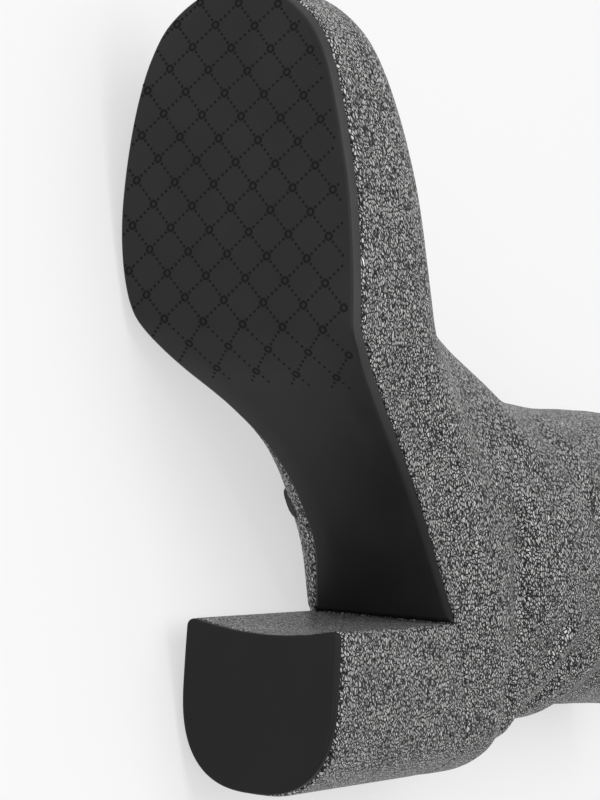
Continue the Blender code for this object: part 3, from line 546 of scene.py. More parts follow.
Section = namedtuple(
    "Section", "back_in back_up front_x front_up front_y inner outer heel inner_toe outer_toe form follow"
)
UPPER_SECTIONS = [
    Section(-0.006, 0.000, 1.0032, 0.000, 1.000, 0.39, 0.56, 0.65, 1.00, 0.38, 0.00, 1.00),
    Section(-0.008, 0.045, 1.0010, 0.038, 1.000, 0.39, 0.56, 0.65, 1.00, 0.36, 0.15, 1.00),
    Section(-0.008, 0.095, 0.9850, 0.068, 0.990, 0.39, 0.56, 0.60, 0.98, 0.33, 0.40, 1.00),
    Section(0.000, 0.146, 0.9450, 0.093, 0.970, 0.39, 0.55, 0.54, 0.92, 0.25, 0.62, 1.00),
    Section(0.034, 0.191, 0.8790, 0.120, 0.920, 0.39, 0.54, 0.46, 0.80, 0.12, 0.80, 0.98),
    Section(0.075, 0.236, 0.7750, 0.151, 0.840, 0.39, 0.53, 0.38, 0.60, 0.02, 0.92, 0.92),
    Section(0.110, 0.287, 0.6800, 0.197, 0.730, 0.395, 0.53, 0.30, 0.40, 0.00, 1.00, 0.80),
    Section(0.121, 0.343, 0.6080, 0.270, 0.580, 0.40, 0.54, 0.22, 0.28, 0.00, 1.00, 0.62),
    Section(0.146, 0.410, 0.5560, 0.345, 0.420, 0.42, 0.54, 0.16, 0.18, 0.02, 1.00, 0.42),
    Section(0.158, 0.478, 0.5180, 0.408, 0.290, 0.445, 0.525, 0.10, 0.12, 0.04, 1.00, 0.24),
    Section(0.163, 0.562, 0.4930, 0.500, 0.190, 0.46, 0.515, 0.08, 0.08, 0.06, 1.00, 0.10),
    Section(0.160, 0.663, 0.4860, 0.620, 0.120, 0.475, 0.51, 0.06, 0.06, 0.06, 1.00, 0.00),
    Section(0.147, 0.803, 0.4850, 0.780, 0.090, 0.485, 0.505, 0.06, 0.06, 0.06, 1.00, 0.00),
    Section(0.133, 1.000, 0.4780, 1.000, 0.070, 0.49, 0.505, 0.06, 0.06, 0.06, 1.00, 0.00),
]
print("sections of the upper:", len(UPPER_SECTIONS), "stations of the sole:", len(SOLE_OUTLINE))


# %% Smooth curves through the tables
def smooth_slopes(knots, values):
    steps = [(b - a) / (q - p) for a, b, p, q in zip(values, values[1:], knots, knots[1:])]
    slopes = [steps[0]]
    for before, after, left, mid, ahead in zip(steps, steps[1:], knots, knots[1:], knots[2:]):
        if before * after <= 0.0:
            slopes.append(0.0)
            continue
        near = 2 * (ahead - mid) + (mid - left)
        far = (ahead - mid) + 2 * (mid - left)
        slopes.append((near + far) / (near / before + far / after))
    slopes.append(steps[-1])
    return slopes


def smooth_curve(knots, values):
    """A function through the knots that never overshoots them."""
    slopes = smooth_slopes(knots, values)

    def value_at(place):
        if place <= knots[0]:
            return values[0]
        if place >= knots[-1]:
            return values[-1]
        index = max(i for i in range(len(knots) - 1) if knots[i] <= place)
        width = knots[index + 1] - knots[index]
        share = (place - knots[index]) / width
        bend = share * share * (3 - 2 * share)
        lean_in = share * (1 - share) ** 2 * slopes[index]
        lean_out = share * share * (share - 1) * slopes[index + 1]
        return values[index] * (1 - bend) + values[index + 1] * bend + width * (lean_in + lean_out)

    return value_at


def turn_of(share):
    return math.acos(max(-1.0, min(1.0, 1 - 2 * share)))


def side_fullness(column):
    turns = [0.0] + [turn_of(row.along) for row in SOLE_OUTLINE] + [math.pi]
    inside = [getattr(row, column) / math.sin(turn_of(row.along)) for row in SOLE_OUTLINE]
    return smooth_curve(turns, [HEEL_FULLNESS] + inside + [TOE_FULLNESS])


FULLNESS = {INNER_SIDE: side_fullness("inner"), OUTER_SIDE: side_fullness("outer")}
FLARE = smooth_curve([row.along for row in SOLE_OUTLINE], [row.flare for row in SOLE_OUTLINE])
WAIST_BACKS = [-WAIST_LEAD] + [row.back for row in WAIST_CURVE]
WAIST_RISE = smooth_curve(WAIST_BACKS, [0.0] + [row.rise for row in WAIST_CURVE])
WAIST_PLATFORM = smooth_curve(WAIST_BACKS, [1.0] + [row.platform for row in WAIST_CURVE])


def flare(x, side):
    return BALL_WIDTH * FLARE(x / SOLE_LENGTH) if side == INNER_SIDE else 0.0


def no_flare(x, side):
    return 0.0


def sole_edge(x, side):
    turn = turn_of(x / SOLE_LENGTH)
    return axis_y(x) + side * BALL_WIDTH * FULLNESS[side](turn) * math.sin(turn)


def waist_share(x):
    return (TREAD_BACK - x) / (TREAD_BACK - HEEL_DEPTH)


def tread_z(x):
    """Height of the sole's underside."""
    if x > TREAD_FRONT:
        return TOE_SPRING * ((x - TREAD_FRONT) / (SOLE_LENGTH - TREAD_FRONT)) ** 2
    return BREAST_HEIGHT * WAIST_RISE(waist_share(x))


def tread_slope(x):
    return (tread_z(x + PROBE / 2) - tread_z(x - PROBE / 2)) / PROBE


def outsole_thickness(x):
    share = min(1.0, max(0.0, waist_share(x)))
    slope = tread_slope(x)
    return mix(OUTSOLE_THICKNESS, OUTSOLE_WAIST, share) * math.sqrt(1 + slope * slope)


def feather_z(x):
    """Height of the footbed, where the upper meets the platform and the heel."""
    if x > TREAD_FRONT:
        return PLATFORM_HEIGHT + TOE_TOP_RISE * tread_z(x) / TOE_SPRING
    if x >= HEEL_DEPTH:
        return tread_z(x) + PLATFORM_HEIGHT * WAIST_PLATFORM(waist_share(x))
    breast = BREAST_HEIGHT + PLATFORM_HEIGHT * WAIST_CURVE[-1].platform
    back = 1 - x / HEEL_DEPTH
    return breast + SEAT_RISE * ((1 + SEAT_BULGE) * back - SEAT_BULGE * back * back)


print("breast and heel seat:", [round(z / MM, 1) for z in (tread_z(HEEL_DEPTH), feather_z(0.0))], "mm")

# %% [markdown]
# ## From points to a piece
#
# Every piece below is first a list of points of the standing boot and a list of faces. One helper turns
# them down with the boot, closes the seams between rows, points the faces outward and lets the
# piece ride on the boot. Soft shading with sharp edges above an angle keeps real corners crisp.

# %% A mesh that rides on the boot
MERGE_DISTANCE = 1e-6


def add_piece(name, points, faces, materials, slots=None, sharp=40.0):
    mesh = bpy.data.meshes.new(name)
    mesh.from_pydata([tuple(BOOT @ Vector(p)) for p in points], [], faces)
    for material in materials:
        mesh.materials.append(material)
    if slots:
        mesh.polygons.foreach_set("material_index", slots)
    bm = bmesh.new()
    bm.from_mesh(mesh)
    bmesh.ops.remove_doubles(bm, verts=bm.verts, dist=MERGE_DISTANCE)
    bmesh.ops.recalc_face_normals(bm, faces=bm.faces)
    bm.to_mesh(mesh)
    bm.free()
    mesh.shade_smooth()
    mesh.set_sharp_from_angle(angle=math.radians(sharp))
    piece = bpy.data.objects.new(name, mesh)
    bpy.context.scene.collection.objects.link(piece)
    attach(piece, "boot")
    return piece


def triangle_count(piece):
    return sum(len(face.vertices) - 2 for face in piece.data.polygons)


def tube_faces(start, rings, sides, faces, closed=False):
    """Faces between rings of points that follow each other; a closed tube runs back into itself."""
    for ring in range(rings if closed else rings - 1):
        low = start + ring * sides
        high = start + (ring + 1) % rings * sides
        for k in range(sides):
            nxt = (k + 1) % sides
            faces.append((low + k, low + nxt, high + nxt, high + k))
    if not closed:
        faces.append(tuple(start + k for k in range(sides)))
        faces.append(tuple(start + (rings - 1) * sides + k for k in range(sides)))


# %% [markdown]
# ## Plates: outsole, platform, heel block and top lift
#
# Each of these is a slab between an underside and a top, with a wall of a few rings. Extruding
# an outline would do for a flat slab, but these follow the arch. So rows are laid across the sole from
# back to front, and the wall is stepped through its levels, which also gives the rounded edges.

# %% A plate between two surfaces
ACROSS = 6


def shifted_inward(rim, inset):
    moved = []
    for index, point in enumerate(rim):
        before = rim[index - 1]
        after = rim[(index + 1) % len(rim)]
        along = Vector((after[0] - before[0], after[1] - before[1])).normalized()
        moved.append((point[0] - along.y * inset, point[1] + along.x * inset))
    return moved


def wall_faces(rings, rim):
    """Faces between rings whose points are named by the same keys."""
    faces = []
    for low, high in zip(rings, rings[1:]):
        for here, there in zip(rim, rim[1:] + rim[:1]):
            faces.append((low[here], low[there], high[there], high[here]))
    return faces


def cap_faces(grid, row_count):
    faces = []
    for i in range(row_count - 1):
        for step in range(ACROSS):
            keys = ((i, step), (i, step + 1), (i + 1, step + 1), (i + 1, step))
            unique = list(dict.fromkeys(grid[key] for key in keys))
            if len(unique) > 2:
                faces.append(tuple(unique))
    return faces


def plate(rows, levels, hollow=None):
    """Points and faces of a slab. rows: (x, inner y, outer y)."""
    hollow = hollow or (lambda x, across: 0.0)
    last = len(rows) - 1
    front_open = rows[-1][1] != rows[-1][2]
    back_open = rows[0][1] != rows[0][2]
    rim_keys = [(0, step) for step in range(ACROSS, 0, -1)] if back_open else []
    rim_keys += [(i, 0) for i in range(len(rows))]
    if front_open:
        rim_keys += [(last, step) for step in range(1, ACROSS + 1)]
    rim_keys += [(i, ACROSS) for i in range(last - 1, 0, -1)]
    points = []
    rings = []
    for inset, height, spread in levels:
        rim = []
        for i, step in rim_keys:
            x, inner, outer = rows[i]
            if inner != outer:
                inner -= spread(x, INNER_SIDE)
                outer += spread(x, OUTER_SIDE)
            across = step / ACROSS
            rim.append((x - hollow(x, 2 * across - 1), mix(inner, outer, across)))
        ring = {}
        for key, (x, y) in zip(rim_keys, shifted_inward(rim, inset)):
            ring[key] = len(points)
            points.append((x, y, height(x)))
        rings.append(ring)
    faces = wall_faces(rings, rim_keys)
    for ring, height in ((rings[0], levels[0][1]), (rings[-1], levels[-1][1])):
        grid = dict(ring)
        for i, row in enumerate(rows):
            if row[1] == row[2]:
                grid.update({(i, step): ring[(i, 0)] for step in range(ACROSS + 1)})
                continue
            inner = points[grid[(i, 0)]]
            outer = points[grid[(i, ACROSS)]]
            for step in range(1, ACROSS):
                if (i, step) in grid:
                    continue
                across = step / ACROSS
                x = mix(inner[0], outer[0], across) - hollow(row[0], 2 * across - 1)
                y = mix(inner[1], outer[1], across)
                grid[(i, step)] = len(points)
                points.append((x, y, height(x)))
        faces += cap_faces(grid, len(rows))
    return points, faces


def sole_rows(start, stop, steps):
    first = turn_of(start / SOLE_LENGTH)
    final = turn_of(stop / SOLE_LENGTH)
    rows = []
    for step in range(steps + 1):
        turn = mix(first, final, step / steps)
        x = SOLE_LENGTH * (1 - math.cos(turn)) / 2
        rows.append((x, sole_edge(x, INNER_SIDE), sole_edge(x, OUTER_SIDE)))
    if stop == SOLE_LENGTH:
        rows[-1] = (SOLE_LENGTH, axis_y(SOLE_LENGTH), axis_y(SOLE_LENGTH))
    return rows


# %% [markdown]
# ### The outsole
#
# It is cut from a sheet of dark rubber and glued on. Its edge is cut at a slant by the maker, with a fine
# rounded arris to the tread. Along the outer side the slanted edge is painted paler: painted light, where
# it faces the lamps.

# %% Outsole
OUTSOLE_BEVEL = 0.0013
SOLE_STEPS = 150
FIRST_PAINTED_LIGHT_LEVEL = 2
Edge = namedtuple("Edge", "inset up")
OUTSOLE_EDGE = [
    Edge(1.30, 0.00), Edge(0.92, 0.06), Edge(0.66, 0.16), Edge(0.45, 0.30), Edge(0.22, 0.52),
    Edge(0.05, 0.80), Edge(0.00, 0.94), Edge(0.12, 1.00),
]
outsole_levels = []
for edge in OUTSOLE_EDGE:
    def rubber_z(x, edge=edge):
        return tread_z(x) + edge.up * outsole_thickness(x)

    outsole_levels.append((OUTSOLE_BEVEL * edge.inset, rubber_z, no_flare))
points, faces = plate(sole_rows(HEEL_DEPTH + GAP, SOLE_LENGTH, SOLE_STEPS), outsole_levels)
faces_per_level = 2 * SOLE_STEPS + ACROSS - 1
# The levels of the slanted edge from this one up get the edge rubber with painted light.
painted_light_faces = range(FIRST_PAINTED_LIGHT_LEVEL * faces_per_level, (len(OUTSOLE_EDGE) - 1) * faces_per_level)
slots = [int(number in painted_light_faces) for number in range(len(faces))]
outsole = add_piece("outsole_sheet", points, faces, [OUTSOLE_RUBBER, EDGE_RUBBER_PAINTED_LIGHT], slots, sharp=50.0)
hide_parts("outsole")
print("outsole:", triangle_count(outsole), "triangles")

# %% [markdown]
# ### The tread
#
# The forefoot carries a lattice of small moulded dots with a ring at each crossing, which
# ends where the arch begins. A pattern in the material would be flat. Each dot
# is a low stud here, and each ring a small moulded ring, sunk a little into the sheet.

# %% Tread dots and rings
LATTICE_START = Vector((0.23433, -0.0465))
LATTICE_SIDES = (Vector((-0.007177, 0.006932)), Vector((0.006917, 0.007194)))
DOTS_PER_SIDE = 4
FIRST_DOT = 0.23
SUNK = 0.0002
DOT_RADIUS = 0.00048
DOT_PROUD = 0.00010
RING_RADIUS = 0.00105
RING_WIDTH = 0.00034
TREAD_EDGE = 0.0030
TREAD_END = 0.1245
LATTICE_REACH = 14


def on_tread(spot):
    """True where the lattice is moulded: inside the edge, and ahead of the arch."""
    if not TREAD_END < spot.x < SOLE_LENGTH - TREAD_EDGE:
        return False
    low = sole_edge(spot.x, INNER_SIDE) + TREAD_EDGE / 2
    high = sole_edge(spot.x, OUTER_SIDE) - TREAD_EDGE
    return low < spot.y < high


def tread_frame(spot):
    """A spot of the underside with its directions along the sole and out of it."""
    slope = tread_slope(spot.x)
    ahead = Vector((1.0, 0.0, slope)).normalized()
    out = Vector((slope, 0.0, -1.0)).normalized()
    return Vector((spot.x, spot.y, tread_z(spot.x))), ahead, out


def lathe_on_tread(spot, profile, segments, points, faces, closed):
    """Turn a small profile of (radius, height) about a spot of the sole."""
    middle, ahead, out = tread_frame(spot)
    across = Vector((0.0, 1.0, 0.0))
    start = len(points)
    for radius, height in profile:
        for k in range(segments):
            angle = 2 * math.pi * k / segments
            offset = ahead * math.cos(angle) * radius + across * math.sin(angle) * radius
            points.append(tuple(middle + offset + out * height))
    tube_faces(start, len(profile), segments, faces, closed)


dot_profile = [(DOT_RADIUS, -SUNK), (DOT_RADIUS, 0.5 * DOT_PROUD), (0.6 * DOT_RADIUS, DOT_PROUD)]
ring_profile = [
    (RING_RADIUS - RING_WIDTH, -SUNK), (RING_RADIUS - RING_WIDTH, DOT_PROUD),
    (RING_RADIUS + RING_WIDTH, DOT_PROUD), (RING_RADIUS + RING_WIDTH, -SUNK),
]
points = []
faces = []
dots = 0
crossings = 0
for i in range(-LATTICE_REACH, LATTICE_REACH + 1):
    for j in range(-LATTICE_REACH, LATTICE_REACH + 1):
        crossing = LATTICE_START + LATTICE_SIDES[0] * i + LATTICE_SIDES[1] * j
        if on_tread(crossing):
            lathe_on_tread(crossing, ring_profile, 12, points, faces, True)
            crossings += 1
        for side in LATTICE_SIDES:
            for step in range(DOTS_PER_SIDE):
                share = mix(FIRST_DOT, 1 - FIRST_DOT, step / (DOTS_PER_SIDE - 1))
                spot = crossing + side * share
                if on_tread(spot):
                    lathe_on_tread(spot, dot_profile, 7, points, faces, False)
                    dots += 1
tread = add_piece("tread_dots", points, faces, [TREAD_RUBBER], sharp=30.0)
print("tread:", dots, "dots and", crossings, "rings,", triangle_count(tread), "triangles")

# %% [markdown]
# ### The platform
#
# A block of light foam under the forefoot, wrapped in the knit before the outsole goes on. The cloth is
# drawn tight round the bottom edge, so that edge is softly rounded.

# %% Platform
Wall = namedtuple("Wall", "up proud spread")
PLATFORM_WALL = [
    Wall(0.000, -1.2, 0.15), Wall(0.000, -0.2, 0.15), Wall(0.025, 0.55, 0.18), Wall(0.07, 0.88, 0.25),
    Wall(0.15, 1.0, 0.35), Wall(0.30, 1.0, 0.50), Wall(0.45, 1.0, 0.64), Wall(0.60, 1.0, 0.75),
    Wall(0.75, 1.0, 0.86), Wall(0.88, 1.0, 0.94), Wall(1.00, 1.0, 1.00),
]


def platform_foot_z(x):
    return tread_z(x) + outsole_thickness(x) + GAP / 3


platform_levels = []
for wall in PLATFORM_WALL:
    def wrap_z(x, wall=wall):
        return mix(platform_foot_z(x), feather_z(x), wall.up)

    def wrap_spread(x, side, wall=wall):
        return wall.spread * flare(x, side)

    platform_levels.append((-WRAP_PROUD * wall.proud, wrap_z, wrap_spread))
points, faces = plate(sole_rows(HEEL_DEPTH + GAP, SOLE_LENGTH, SOLE_STEPS), platform_levels)
platform = add_piece("platform_wrap", points, faces, [SILVER_KNIT], sharp=60.0)
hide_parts("platform")
print("platform:", triangle_count(platform), "triangles")


# %% [markdown]
# ### The heel
#
# The block is moulded plastic in the same knit. It grows from the D of the top lift to the
# outline of the heel seat, and its front, the breast, is hollowed. The lift is a thin slab of
# hard rubber pinned under it, with its rim scoured round.

# %% Heel block and top lift
HEEL_STEPS = 48
CORNER_STEPS = 5


def heel_rows():
    flat_to = HEEL_DEPTH - CORNER_RADIUS
    xs = [flat_to * (1 - math.cos(math.pi / 2 * step / HEEL_STEPS)) for step in range(HEEL_STEPS + 1)]
    for step in range(1, CORNER_STEPS + 1):
        xs.append(flat_to + CORNER_RADIUS * math.sin(math.pi / 2 * step / CORNER_STEPS))
    return xs


def corner_tuck(x):
    past = max(0.0, x - (HEEL_DEPTH - CORNER_RADIUS)) / CORNER_RADIUS
    return CORNER_RADIUS * (1 - math.sqrt(max(0.0, 1 - past * past)))


def lift_edge(x, side):
    round_depth = LIFT_ROUND * HEEL_DEPTH
    back = max(0.0, 1 - x / round_depth)
    half = HEEL_WIDTH / 2 * max(0.0, 1 - back ** LIFT_POWER) ** (1 / LIFT_POWER)
    taper = LIFT_TAPER * max(0.0, x / round_depth - 1) ** 2
    return side * (half - taper - corner_tuck(x))


def heel_hollow(x, across):
    depth = max(0.0, (x / HEEL_DEPTH - HOLLOW_START) / (1 - HOLLOW_START))
    return BREAST_HOLLOW * depth ** 2 * (1 - across * across)


def wrap_turn(x):
    return math.pi / 2 * min(1.0, x / (WRAP_TURN * HEEL_DEPTH))


LIFT_BEVEL = 0.0009
lift_rows = [(x, lift_edge(x, INNER_SIDE), lift_edge(x, OUTER_SIDE)) for x in heel_rows()]
lift_rows[0] = (0.0, 0.0, 0.0)
lift_levels = []
LIFT_EDGE = [
    Edge(1.15, 0.0), Edge(0.70, 0.08), Edge(0.35, 0.26), Edge(0.10, 0.60),
    Edge(0.0, 1.0), Edge(0.0, 2.9), Edge(0.25, 3.3333),
]
for inset, up in LIFT_EDGE:
    def lift_z(x, up=up):
        return LIFT_BEVEL * up

    lift_levels.append((LIFT_BEVEL * inset, lift_z, no_flare))
points, faces = plate(lift_rows, lift_levels, heel_hollow)
top_lift = add_piece("top_lift_slab", points, faces, [LIFT_RUBBER], sharp=50.0)
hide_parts("top_lift")

BLOCK_RINGS = [0.0, 0.012, 0.03, 0.07, 0.13, 0.2, 0.3, 0.4, 0.5, 0.6, 0.7, 0.8, 0.9, 0.965, 0.985, 1.0]
BLOCK_TUCK = {0.0: -1.0, 0.012: 0.55, 0.965: 0.9, 0.985: 0.75, 1.0: 0.2}


def build_heel_block():
    xs = heel_rows()
    foot = LIFT_THICKNESS + GAP / 3
    last = len(xs) - 1
    rim = [(i, 0) for i in range(last + 1)] + [(last, step) for step in range(1, ACROSS + 1)]
    rim += [(i, ACROSS) for i in range(last - 1, 0, -1)]
    rim_set = set(rim)
    points = []
    grids = []
    for share in BLOCK_RINGS:
        whole = share in (0.0, 1.0)
        proud = WRAP_PROUD * BLOCK_TUCK.get(share, 1.0)
        grid = {}
        for i, x in enumerate(xs):
            edges = []
            for side in (INNER_SIDE, OUTER_SIDE):
                seat = sole_edge(x, side) + side * (flare(x, side) - corner_tuck(x))
                edge = mix(lift_edge(x, side), seat, share)
                edges.append(edge + side * proud * math.sin(wrap_turn(x)))
            for step in range(ACROSS + 1):
                if i == 0 and step > 0:
                    grid[(i, step)] = grid[(0, 0)]
                    continue
                if (i, step) not in rim_set and not whole:
                    continue
                across = step / ACROSS
                bend = heel_hollow(x, 2 * across - 1) * (1 - share)
                place = x - bend - proud * math.cos(wrap_turn(x))
                y = mix(edges[0], edges[1], across) if i else 0.0
                z = mix(foot, feather_z(max(0.0, place)), share)
                grid[(i, step)] = len(points)
                points.append((place, y, z))
        grids.append(grid)
    caps = cap_faces(grids[0], len(xs)) + cap_faces(grids[-1], len(xs))
    return points, wall_faces(grids, rim) + caps


points, faces = build_heel_block()
heel_block = add_piece("heel_block_wrap", points, faces, [SILVER_KNIT], sharp=60.0)
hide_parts("heel_block")
print("heel:", triangle_count(heel_block) + triangle_count(top_lift), "triangles")

# %% [markdown]
# ## The upper
#
# The upper is one knitted sock over a stiff toe and heel counter. It is made as rings round the foot,
# from the sole's edge to the collar. Where the heel counter ends, the soft shaft sinks in a little and
# folds. A cloth simulation would wrinkle it anywhere; the folds of the photograph have their places,
# so each one is pushed in along a given line.

# %% The surface of the upper
LAST_SECTION = len(UPPER_SECTIONS) - 1
SECTION_CURVES = {
    column: smooth_curve(range(LAST_SECTION + 1), [getattr(row, column) for row in UPPER_SECTIONS])
    for column in Section._fields
}
COLLAR_Z = feather_z(0.0) + SHAFT_RISE
HEEL_SWELL_POWER = 4
TOE_SWELL_POWER = 2
LEAST_TURN = 0.3


@lru_cache(maxsize=None)
def section_ends(level):
    value = {column: curve(level) for column, curve in SECTION_CURVES.items()}
    back = Vector((SHAFT_DEPTH * value["back_in"], 0.0, feather_z(0.0) + SHAFT_RISE * value["back_up"]))
    front = Vector((SOLE_LENGTH * value["front_x"], -TOE_SHIFT * value["front_y"], 0.0))
    bed = feather_z(front.x)
    front.z = bed + (COLLAR_Z - bed) * value["front_up"]
    return back, front, value


def upper_point(level, share, side):
    back, front, value = section_ends(level)
    turn = turn_of(share)
    x = mix(back.x, front.x, share)
    bed_x = min(SOLE_LENGTH, max(0.0, x))
    bed_turn = turn_of(bed_x / SOLE_LENGTH)
    stand_out = WRAP_PROUD + flare(bed_x, side) / max(LEAST_TURN, math.sin(bed_turn))
    outline = BALL_WIDTH * FULLNESS[side](bed_turn) + stand_out
    name = "inner" if side == INNER_SIDE else "outer"
    heel_swell = value["heel"] * (1 - share) ** HEEL_SWELL_POWER
    swell = 1 + heel_swell + value[name + "_toe"] * share ** TOE_SWELL_POWER
    own = SHAFT_WIDTH * value[name] * swell
    y = mix(back.y, front.y, share) + side * mix(outline, own, value["form"]) * math.sin(turn)
    chord = mix(back.z, front.z, share)
    bed_chord = mix(feather_z(max(0.0, back.x)), feather_z(front.x), share)
    return Vector((x, y, chord + (feather_z(bed_x) - bed_chord) * value["follow"]))


# %% Where the zip runs
ZIP_WIDTH = 0.0070
ZIP_FOOT = 0.0900
ZIP_HEAD = 0.0985
ZIP_FOOT_RISE = 0.004
LEVEL_STEP = 0.05


def inner_point(level, x):
    back, front, _ = section_ends(level)
    return upper_point(level, (x - back.x) / (front.x - back.x), INNER_SIDE)


def find_zip_foot():
    level = 0.0
    while inner_point(level, ZIP_FOOT).z - feather_z(ZIP_FOOT) < ZIP_FOOT_RISE:
        level += LEVEL_STEP
    return level


ZIP_FOOT_LEVEL = find_zip_foot()


def zip_x(level):
    share = (level - ZIP_FOOT_LEVEL) / (LAST_SECTION - ZIP_FOOT_LEVEL)
    return mix(ZIP_FOOT, ZIP_HEAD, max(0.0, share))


def zip_frame(level, x):
    """A point of the inner side, with the direction out of the cloth and up the zip."""
    middle = inner_point(level, x)
    along = inner_point(level, x + PROBE) - inner_point(level, x - PROBE)
    up = inner_point(min(LAST_SECTION, level + LEVEL_STEP), x) - inner_point(level - LEVEL_STEP, x)
    out = along.cross(up).normalized()
    if out.y > 0:
        out = -out
    return middle, out, up.normalized()


print("the zip starts at section", round(ZIP_FOOT_LEVEL, 2))

# %% [markdown]
# ### Folds
#
# Each fold is a line on the outer or inner side with a depth, a plus for a valley and a minus for a
# ridge, and a softness. The first rows are the sink above the heel counter, which runs round
# the back. The slanting ridge and valley behind it are where the empty shaft tips over.

# %% Folds
Fold = namedtuple("Fold", "x0 z0 x1 z1 depth soft sides")
OUTER_ONLY = (OUTER_SIDE,)
BOTH_SIDES = (INNER_SIDE, OUTER_SIDE)
FOLDS = [
    Fold(84, 116, 28, 119, 2.9, 6.5, BOTH_SIDES),
    Fold(28, 119, 6, 121, 2.0, 5.0, BOTH_SIDES),
    Fold(15, 127, 50, 156, -1.3, 3.6, OUTER_ONLY),
    Fold(14, 146, 36, 162, 4.0, 4.6, OUTER_ONLY),
    Fold(36, 140, 48, 148, 1.8, 2.6, OUTER_ONLY),
    Fold(12, 164, 42, 182, -1.3, 4.5, OUTER_ONLY),
    Fold(20, 188, 64, 202, 1.5, 5.5, OUTER_ONLY),
    Fold(106, 116, 90, 141, 1.2, 5.5, OUTER_ONLY),
    Fold(112, 150, 80, 170, 1.2, 6.0, OUTER_ONLY),
    Fold(20, 140, 52, 158, 2.2, 5.0, (INNER_SIDE,)),
    Fold(16, 168, 60, 186, 1.6, 6.0, (INNER_SIDE,)),
    Fold(118, 160, 106, 186, 1.0, 6.0, (INNER_SIDE,)),
]


def distance_to_line(px, pz, fold):
    dx, dz = fold.x1 - fold.x0, fold.z1 - fold.z0
    share = ((px - fold.x0) * dx + (pz - fold.z0) * dz) / (dx * dx + dz * dz)
    share = max(0.0, min(1.0, share))
    return math.hypot(px - fold.x0 - share * dx, pz - fold.z0 - share * dz)


SHAFT_FROM = 100
SHAFT_FADE = 40
DRAPE = 0.35
LIP_WAVES = 5
LIP_LENGTH = 0.030
LIP_PROUD = 0.0021
LIP_REACH = 0.012
LIP_MIDDLE = 0.0018
LIP_WIDTH = 0.0030
LIP_FULL_TO = 0.012
LIP_FADE_UP = 0.010
LIP_FADE_DOWN = 0.003
SETTLE_RINGS = 4
FOOT_TUCK = 0.3 * MM


def fold_depth(point, side):
    px, pz = point.x / MM, point.z / MM
    depth = 0.0
    for fold in FOLDS:
        if side in fold.sides:
            near = distance_to_line(px, pz, fold) / fold.soft
            if near < 3:
                depth += fold.depth * math.exp(-near * near)
    above = max(0.0, min(1.0, (pz - SHAFT_FROM) / SHAFT_FADE))
    drape = math.sin(px * 0.11 + pz * 0.05) * math.sin(pz * 0.09 - px * 0.04 + side)
    return (depth + DRAPE * above * drape) * MM


def lip_height(level, x, side):
    """How far the cloth puckers up beside the lower end of the zip."""
    if side != INNER_SIDE:
        return 0.0
    up = inner_point(level, ZIP_FOOT).z - inner_point(ZIP_FOOT_LEVEL, ZIP_FOOT).z
    away = abs(x - zip_x(level)) - ZIP_WIDTH / 2
    if up > 1.6 * LIP_LENGTH or away > LIP_REACH:
        return 0.0
    beside = math.exp(-((away - LIP_MIDDLE) / LIP_WIDTH) ** 2)
    fade_up = math.exp(-max(0.0, up - LIP_FULL_TO) / LIP_FADE_UP)
    fade = fade_up * math.exp(-max(0.0, -up) / LIP_FADE_DOWN)
    start = 1.0 if x > zip_x(level) else 0.0
    waves = 0.55 + 0.45 * math.cos(2 * math.pi * LIP_WAVES * up / LIP_LENGTH + start)
    return LIP_PROUD * beside * fade * waves


print("folds:", len(FOLDS))

# %% [markdown]
# ### The knitted sock
#
# The outer face, the rolled rim of the collar and the lining are one closed skin. Two of its columns
# run exactly along the zip's edges, so the opening for the zip is cut by leaving faces out, and
# the cloth is turned in along it.

# %% Rings of the upper
UPPER_LEVELS = 132
BACK_COLUMNS = 44
ZIP_COLUMNS = 3
FRONT_COLUMNS = 60
OUTER_COLUMNS = 104


def ring_turns(level):
    """The turns of one ring's columns: the inner side from back to front, then the outer side back."""
    at = max(level, ZIP_FOOT_LEVEL)
    back, front, _ = section_ends(at)
    half = ZIP_WIDTH / 2 + GAP
    near = turn_of((zip_x(at) - half - back.x) / (front.x - back.x))
    far = turn_of((zip_x(at) + half - back.x) / (front.x - back.x))
    turns = [(near * k / BACK_COLUMNS, INNER_SIDE) for k in range(BACK_COLUMNS)]
    turns += [(mix(near, far, k / ZIP_COLUMNS), INNER_SIDE) for k in range(ZIP_COLUMNS)]
    turns += [(mix(far, math.pi, k / FRONT_COLUMNS), INNER_SIDE) for k in range(FRONT_COLUMNS)]
    turns += [(math.pi * (1 - k / OUTER_COLUMNS), OUTER_SIDE) for k in range(OUTER_COLUMNS)]
    return turns


def ring_levels():
    """Levels of the rings, with one exactly at the zip's foot."""
    levels = [LAST_SECTION * k / UPPER_LEVELS for k in range(UPPER_LEVELS + 1)]
    nearest = min(range(len(levels)), key=lambda k: abs(levels[k] - ZIP_FOOT_LEVEL))
    levels[nearest] = ZIP_FOOT_LEVEL
    return levels, nearest


def build_rings():
    levels, foot = ring_levels()
    rings = []
    for k, level in enumerate(levels):
        ring = [upper_point(level, (1 - math.cos(turn)) / 2, side) for turn, side in ring_turns(level)]
        if k == 0:
            for point in ring:
                point.z = feather_z(min(SOLE_LENGTH, max(0.0, point.x))) + GAP / 4
        rings.append(ring)
    return levels, foot, rings


def normals_of(rings):
    """Outward directions, from the neighbours in the ring and in the rings above and below."""
    normals = []
    count = len(rings[0])
    for k, ring in enumerate(rings):
        below = rings[max(0, k - 1)]
        above = rings[min(len(rings) - 1, k + 1)]
        row = []
        for m in range(count):
            around = ring[(m + 1) % count] - ring[m - 1]
            row.append((around.cross(above[m] - below[m])).normalized())
        normals.append(row)
    return normals


